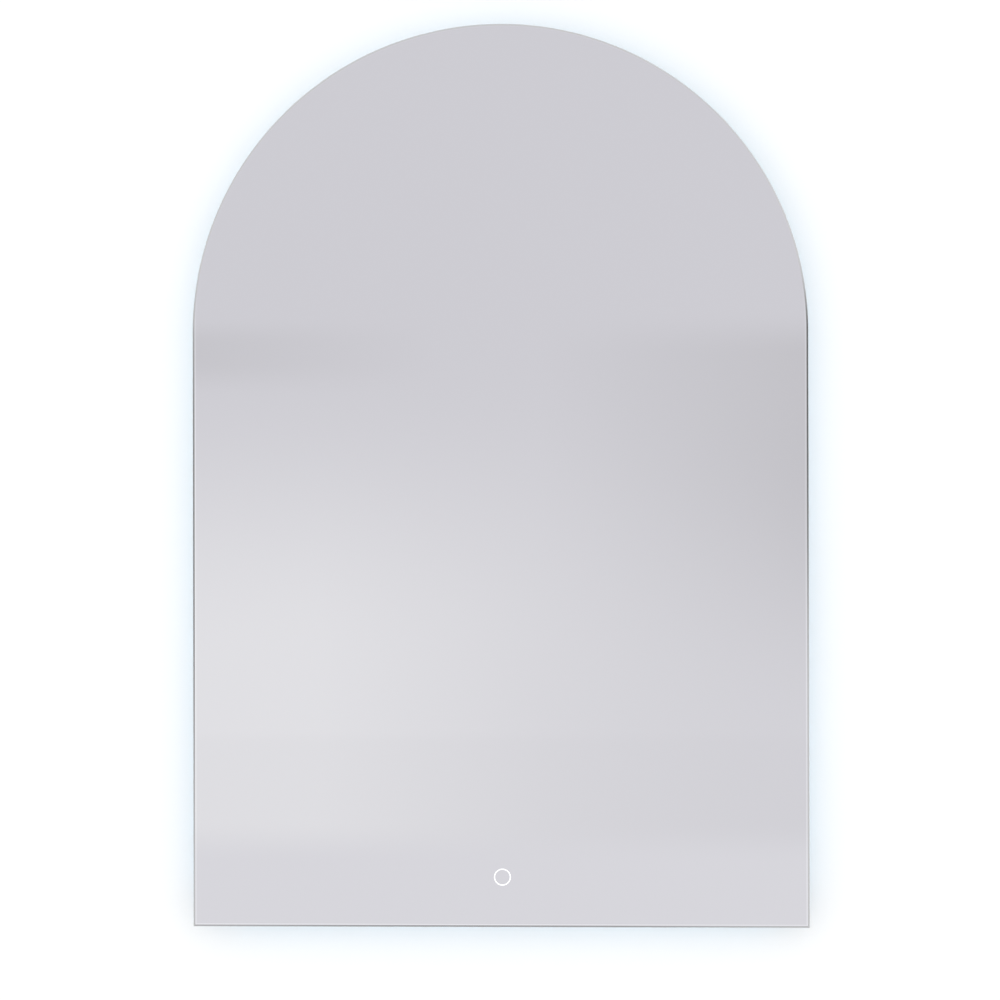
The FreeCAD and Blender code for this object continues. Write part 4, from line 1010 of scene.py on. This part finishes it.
class LIT_MIRROR_OT_touch_switch(bpy.types.Operator):
    """Models the touch switch behind the ring"""
    bl_idname = "lit_mirror.touch_switch"
    bl_label = "Touch switch"

    def execute(self, context):
        soft = settings("mirror_plastic").moulding_round
        dressed("sensor_case", "touch_switch_case", soft * CASE_SHARE)
        carried("sensor_board", "sensor_leds", "touch_electrode", "ring_light_guide")
        return {"FINISHED"}


class LIT_MIRROR_OT_demister(bpy.types.Operator):
    """Finishes the heated pad on the film and models the cover of its terminal"""
    bl_idname = "lit_mirror.demister"
    bl_label = "Demister"

    def execute(self, context):
        carried("demister_pad", "demister_track")
        soft = settings("mirror_plastic").moulding_round
        dressed("demister_terminal", "demister_cover", soft * COVER_SHARE)
        return {"FINISHED"}


class LIT_MIRROR_OT_feet(bpy.types.Operator):
    """Models one rubber foot and sets its copy at the other side"""
    bl_idname = "lit_mirror.feet"
    bl_label = "Wall feet"

    solid_reach = 0.1
    vertices = 64
    wall_end_share = 0.829      # of the foot's width, where it meets the wall
    rim_share = 0.38            # of the foot's radius, round the recess in the wall end
    recess_share = 0.35         # of the foot's height
    round_share = 0.14          # of the foot's radius
    round_segments = 5
    shading_angle = 30          # degrees

    def execute(self, context):
        boxes = boxes_of("wall_feet", self.solid_reach)
        low, high = boxes[0]
        radius = (high.x - low.x) / 2
        height = high.y - low.y
        foot = cylinder("foot", self.vertices, radius, height)
        editing(foot)
        pick(foot, "faces", lambda f: f.normal.y > FLAT)
        narrowed(self.wall_end_share)
        bpy.ops.mesh.inset(thickness=radius * self.rim_share, depth=0)
        extruded(-height * self.recess_share)
        pick(foot, "edges", lambda e: min(v.co.y for v in e.verts) > height - TINY)
        bpy.ops.mesh.bevel(offset=radius * self.round_share, segments=self.round_segments)
        finished_editing(foot)
        smoothed(foot, self.shading_angle)
        clad(foot, finish_of("foot_rubber"))
        for side, (low, high) in zip(("left", "right"), boxes):
            middle = (low + high) / 2
            piece = copied(foot, f"foot_{side}", (middle.x, low.y, middle.z))
            mounted(piece, "mirror", "foot_rubber", "wall_feet")
        bpy.data.objects.remove(foot)
        return {"FINISHED"}


# ---------------------------------------------------------------- stage
class LIT_MIRROR_OT_stage(bpy.types.Operator):
    """Sets up the wall, the floor, the room that the mirror shows, the lights and the camera"""
    bl_idname = "lit_mirror.stage"
    bl_label = "Stage"

    wall_width = 3.2
    wall_y = 0.0002             # just clear of the rail's back
    wall_tints = (0.90, 0.91)
    floor_width = 14
    floor_z = -1.74
    card_width = 4.5
    card_y = -3.4
    sensor_width = 36           # of the camera, in millimetres

    # The room that the mirror shows, as bands of places on the pane in metres: where a band begins
    # and ends, and where they aren't 0 and 1, its values there
    right_across = (0.05, 0.36)
    right_up = (0.060, 0.005)
    right_lift = (-0.10, -0.46, 0.0, 0.75)
    shade_across = (-0.08, -0.36, 0.0, 0.75)
    shade_upper = (0.055, 0.020)
    shade_lower = (-0.045, 0.000)
    lit_across = (-0.22, 0.36, 1.0, 0.0)
    lit_up = (0.02, -0.36)
    rail_up = (-0.450, -0.468, 0.0, 0.08)
    foot_up = (-0.560, -0.612)

    # The room that polished parts show, as bands of direction: the axis, where a band begins and ends
    # along it, and its brightness there
    left_side = ("X", -0.92, -0.975, 0.0, 1.0)
    left_tones = (("Z", 0.064, 0.082, -0.28, 0.0), ("Z", -0.03, -0.175, 0.0, 0.38))
    right_side = ("X", 0.92, 0.975, 0.0, 1.0)
    right_tones = (("Z", 0.01, -0.065, -0.45, 0.10), ("Z", 0.07, 0.28, 0.0, 0.38))
    ground = ("Z", -0.90, -0.96, 0.0, 1.0)
    ground_tones = (("X", 0.03, 0.07, -0.05, 0.12), ("X", -0.10, -0.13, 0.0, 0.12))
    upper_tone = ("Z", 0.04, 0.30, 0.62, 0.79)
    lower_tone = ("Z", -0.42, -0.12, -0.09, 0.0)
    rear_tone = ("Y", 0.05, 0.55, 0.0, -0.24)
    front_begins = (0.1, -0.1)  # along Y, for the light on matt surfaces

    # Name, place, aim, size and power of each lamp
    lamps = (
        ("lamp_high", (-1.9, 2.1, 1.5), (0, 0, -0.1), 1.4, 34),
        ("lamp_low", (2.2, 1.8, -0.6), (0, 0, -0.2), 1.6, 9),
    )

    def plane(self, name, size, place, turn=(0, 0, 0)):
        bpy.ops.mesh.primitive_plane_add(size=size, location=place, rotation=turn)
        piece = settle(named(name))
        return piece

    def wall(self):
        """White wall, seen from the room's side only."""
        wall = self.plane("wall", self.wall_width, (0, self.wall_y, 0), (QUARTER_TURN, 0, 0))
        finish = Finish("wall_paint")
        room = tuple(settings("mirror_light").room)
        roller = finish.noise(0.004, 3)
        finish.shade(
            Base_Color=finish.toned(roller, room, *self.wall_tints), Roughness=0.95,
            Specular_IOR_Level=0.0)
        clear = finish.add("ShaderNodeBsdfTransparent").outputs[0]
        behind = finish.add("ShaderNodeNewGeometry").outputs["Backfacing"]
        both = finish.add("ShaderNodeMixShader")
        for socket, value in zip(both.inputs, (behind, finish.surface.outputs[0], clear)):
            finish.give(socket, value)
        output = finish.tree.nodes["Material Output"]
        finish.give(output.inputs["Surface"], both.outputs[0])
        clad(wall, finish.material)
        wall.visible_diffuse = False
        wall.visible_glossy = False
        wall.visible_transmission = False
        wall.visible_shadow = False

    def floor(self):
        """Pale floor, which lights nothing and shows in no reflection."""
        floor = self.plane("floor", self.floor_width, (0, 0, self.floor_z))
        finish = Finish("floor_paint")
        wear = finish.noise(0.3, 4)
        finish.shade(
            Base_Color=finish.mixed(wear, (0.80, 0.80, 0.80), (0.84, 0.84, 0.84)), Roughness=0.7)
        clad(floor, finish.material)
        floor.visible_glossy = False
        floor.visible_diffuse = False

    def card(self):
        """What the mirror shows: a plain room, lighter low on the left, seen by reflections only."""
        light = settings("mirror_light")
        eye = Vector(settings("mirror_camera").place)
        card = self.plane(
            "room_card", self.card_width, (0, self.card_y, 0), (-QUARTER_TURN, 0, 0))
        finish = Finish("room_tones")
        x, _, z = finish.axes()
        away = (self.card_y + eye.y - 2 * GLASS_FRONT) / (eye.y - GLASS_FRONT)

        def on_pane(value, middle):
            """Where the pane shows a place on the card."""
            way = finish.math("DIVIDE", finish.math("SUBTRACT", value, middle), away)
            return finish.math("ADD", way, middle)

        on_pane_x = on_pane(x, eye.x)
        on_pane_z = on_pane(z, eye.z)

        def across(band):
            return finish.between(on_pane_x, *band)

        def up(band):
            return finish.between(on_pane_z, *band, smooth=True)

        def both(first, second):
            return finish.math("MULTIPLY", first, second)

        right_tone, floor_tone = tuple(light.right_tone), tuple(light.floor_tone)
        right = finish.mixed(up(self.right_lift), right_tone, floor_tone)
        beside = both(across(self.right_across), up(self.right_up))
        tone = finish.mixed(beside, tuple(light.upper_tone), right)
        shade = both(across(self.shade_across), both(up(self.shade_upper), up(self.shade_lower)))
        tone = finish.mixed(shade, tone, right_tone)
        lit = both(across(self.lit_across), up(self.lit_up))
        tone = finish.mixed(lit, tone, tuple(light.left_tone))
        tone = finish.mixed(up(self.rail_up), tone, right_tone)
        tone = finish.mixed(up(self.foot_up), tone, floor_tone)
        finish.shade(
            Base_Color=(0.0, 0.0, 0.0), Roughness=1.0, Specular_IOR_Level=0.0, Emission_Color=tone,
            Emission_Strength=1.0)
        clad(card, finish.material)
        card.visible_camera = False
        card.visible_diffuse = False
        card.visible_transmission = False
        card.visible_shadow = False

    def room(self):
        """Even light on matt surfaces, dimmer behind the wall, and a toned room in polished ones."""
        light = settings("mirror_light")
        scene = bpy.context.scene
        scene.world = scene.world or bpy.data.worlds.new("room")
        scene.world.use_nodes = True
        nodes = Nodes(scene.world.node_tree)
        place = nodes.add("ShaderNodeTexCoord").outputs["Generated"]
        axes = nodes.add("ShaderNodeSeparateXYZ", Vector=place).outputs
        joined = nodes.math

        def way(axis, *limits):
            return nodes.between(axes[axis], *limits, smooth=True)

        def toned(where, tones):
            first, second = tones
            return joined("MULTIPLY", way(*where), joined("ADD", way(*first), way(*second)))

        sides = joined(
            "ADD", toned(self.left_side, self.left_tones), toned(self.right_side, self.right_tones))
        around = joined("ADD", sides, toned(self.ground, self.ground_tones))
        heights = joined("ADD", way(*self.upper_tone), way(*self.lower_tone))
        level = joined("ADD", around, joined("ADD", heights, way(*self.rear_tone)))
        path = nodes.add("ShaderNodeLightPath").outputs
        glossy, diffuse = path["Is Glossy Ray"], path["Is Diffuse Ray"]
        polished = joined("MULTIPLY", glossy, level)
        front = way("Y", *self.front_begins, light.back_strength, light.room_strength)
        matt = joined("MULTIPLY", diffuse, front)
        open_view = joined(
            "MULTIPLY", joined("SUBTRACT", 1.0, joined("ADD", glossy, diffuse)),
            light.backdrop_strength)
        total = joined("ADD", joined("ADD", matt, polished), open_view)
        background = nodes.tree.nodes["Background"].inputs
        nodes.give(background["Strength"], total)
        nodes.give(background["Color"], (*light.room, 1))

    def lamp(self, name, place, aim, size, power):
        """A soft lamp behind the wall's plane, for views of the back."""
        bpy.ops.object.light_add(type="AREA", location=place)
        lamp = bpy.context.object
        lamp.name = name
        lamp.data.size = size
        lamp.data.energy = power
        lamp.rotation_euler = (Vector(aim) - Vector(place)).to_track_quat("-Z", "Y").to_euler()
        lamp.visible_camera = False

    def camera(self):
        wanted = settings("mirror_camera")
        bpy.ops.object.camera_add(location=wanted.place)
        camera = bpy.context.object
        camera.name = "photo_camera"
        camera.data.lens = wanted.lens
        camera.data.sensor_width = self.sensor_width
        upright = Euler((QUARTER_TURN, 0, 0)).to_matrix()
        pan = Euler((0, 0, wanted.pan)).to_matrix()
        tilt = Euler((wanted.tilt, 0, 0)).to_matrix()
        roll = Euler((0, wanted.roll, 0)).to_matrix()
        camera.rotation_euler = (pan @ tilt @ roll @ upright).to_euler()
        bpy.context.scene.camera = camera

    def execute(self, context):
        deselect_all()
        self.wall()
        self.floor()
        self.card()
        self.room()
        for lamp in self.lamps:
            self.lamp(*lamp)
        self.camera()
        context.scene.view_settings.view_transform = "Standard"
        return {"FINISHED"}


# ---------------------------------------------------------------- add-on
STEPS = (
    LIT_MIRROR_OT_pane,
    LIT_MIRROR_OT_backing,
    LIT_MIRROR_OT_channel,
    LIT_MIRROR_OT_light,
    LIT_MIRROR_OT_rails,
    LIT_MIRROR_OT_screws,
    LIT_MIRROR_OT_driver,
    LIT_MIRROR_OT_terminal_box,
    LIT_MIRROR_OT_touch_switch,
    LIT_MIRROR_OT_demister,
    LIT_MIRROR_OT_feet,
    LIT_MIRROR_OT_stage,
)


class LIT_MIRROR_PT_panel(bpy.types.Panel):
    """Lists the mirror's settings and the steps that build it"""
    bl_idname = "LIT_MIRROR_PT_panel"
    bl_label = "Lit mirror"
    bl_space_type = "VIEW_3D"
    bl_region_type = "UI"
    bl_category = "Mirror"

    def draw(self, context):
        for name, group in SETTINGS.items():
            column = self.layout.box().column()
            for field in group.__annotations__:
                column.prop(getattr(context.scene, name), field)
        for step in STEPS:
            self.layout.operator(step.bl_idname)


def register():
    for group in SETTINGS.values():
        bpy.utils.register_class(group)
    for name, group in SETTINGS.items():
        setattr(bpy.types.Scene, name, PointerProperty(type=group))
    for step in STEPS:
        bpy.utils.register_class(step)
    bpy.utils.register_class(LIT_MIRROR_PT_panel)


def unregister():
    bpy.utils.unregister_class(LIT_MIRROR_PT_panel)
    for step in reversed(STEPS):
        bpy.utils.unregister_class(step)
    for name in SETTINGS:
        delattr(bpy.types.Scene, name)
    for group in SETTINGS.values():
        bpy.utils.unregister_class(group)


def main():
    register()
    for step in STEPS:
        group, operation = step.bl_idname.split(".")
        getattr(getattr(bpy.ops, group), operation)()


if __name__ == "__main__":
    main()
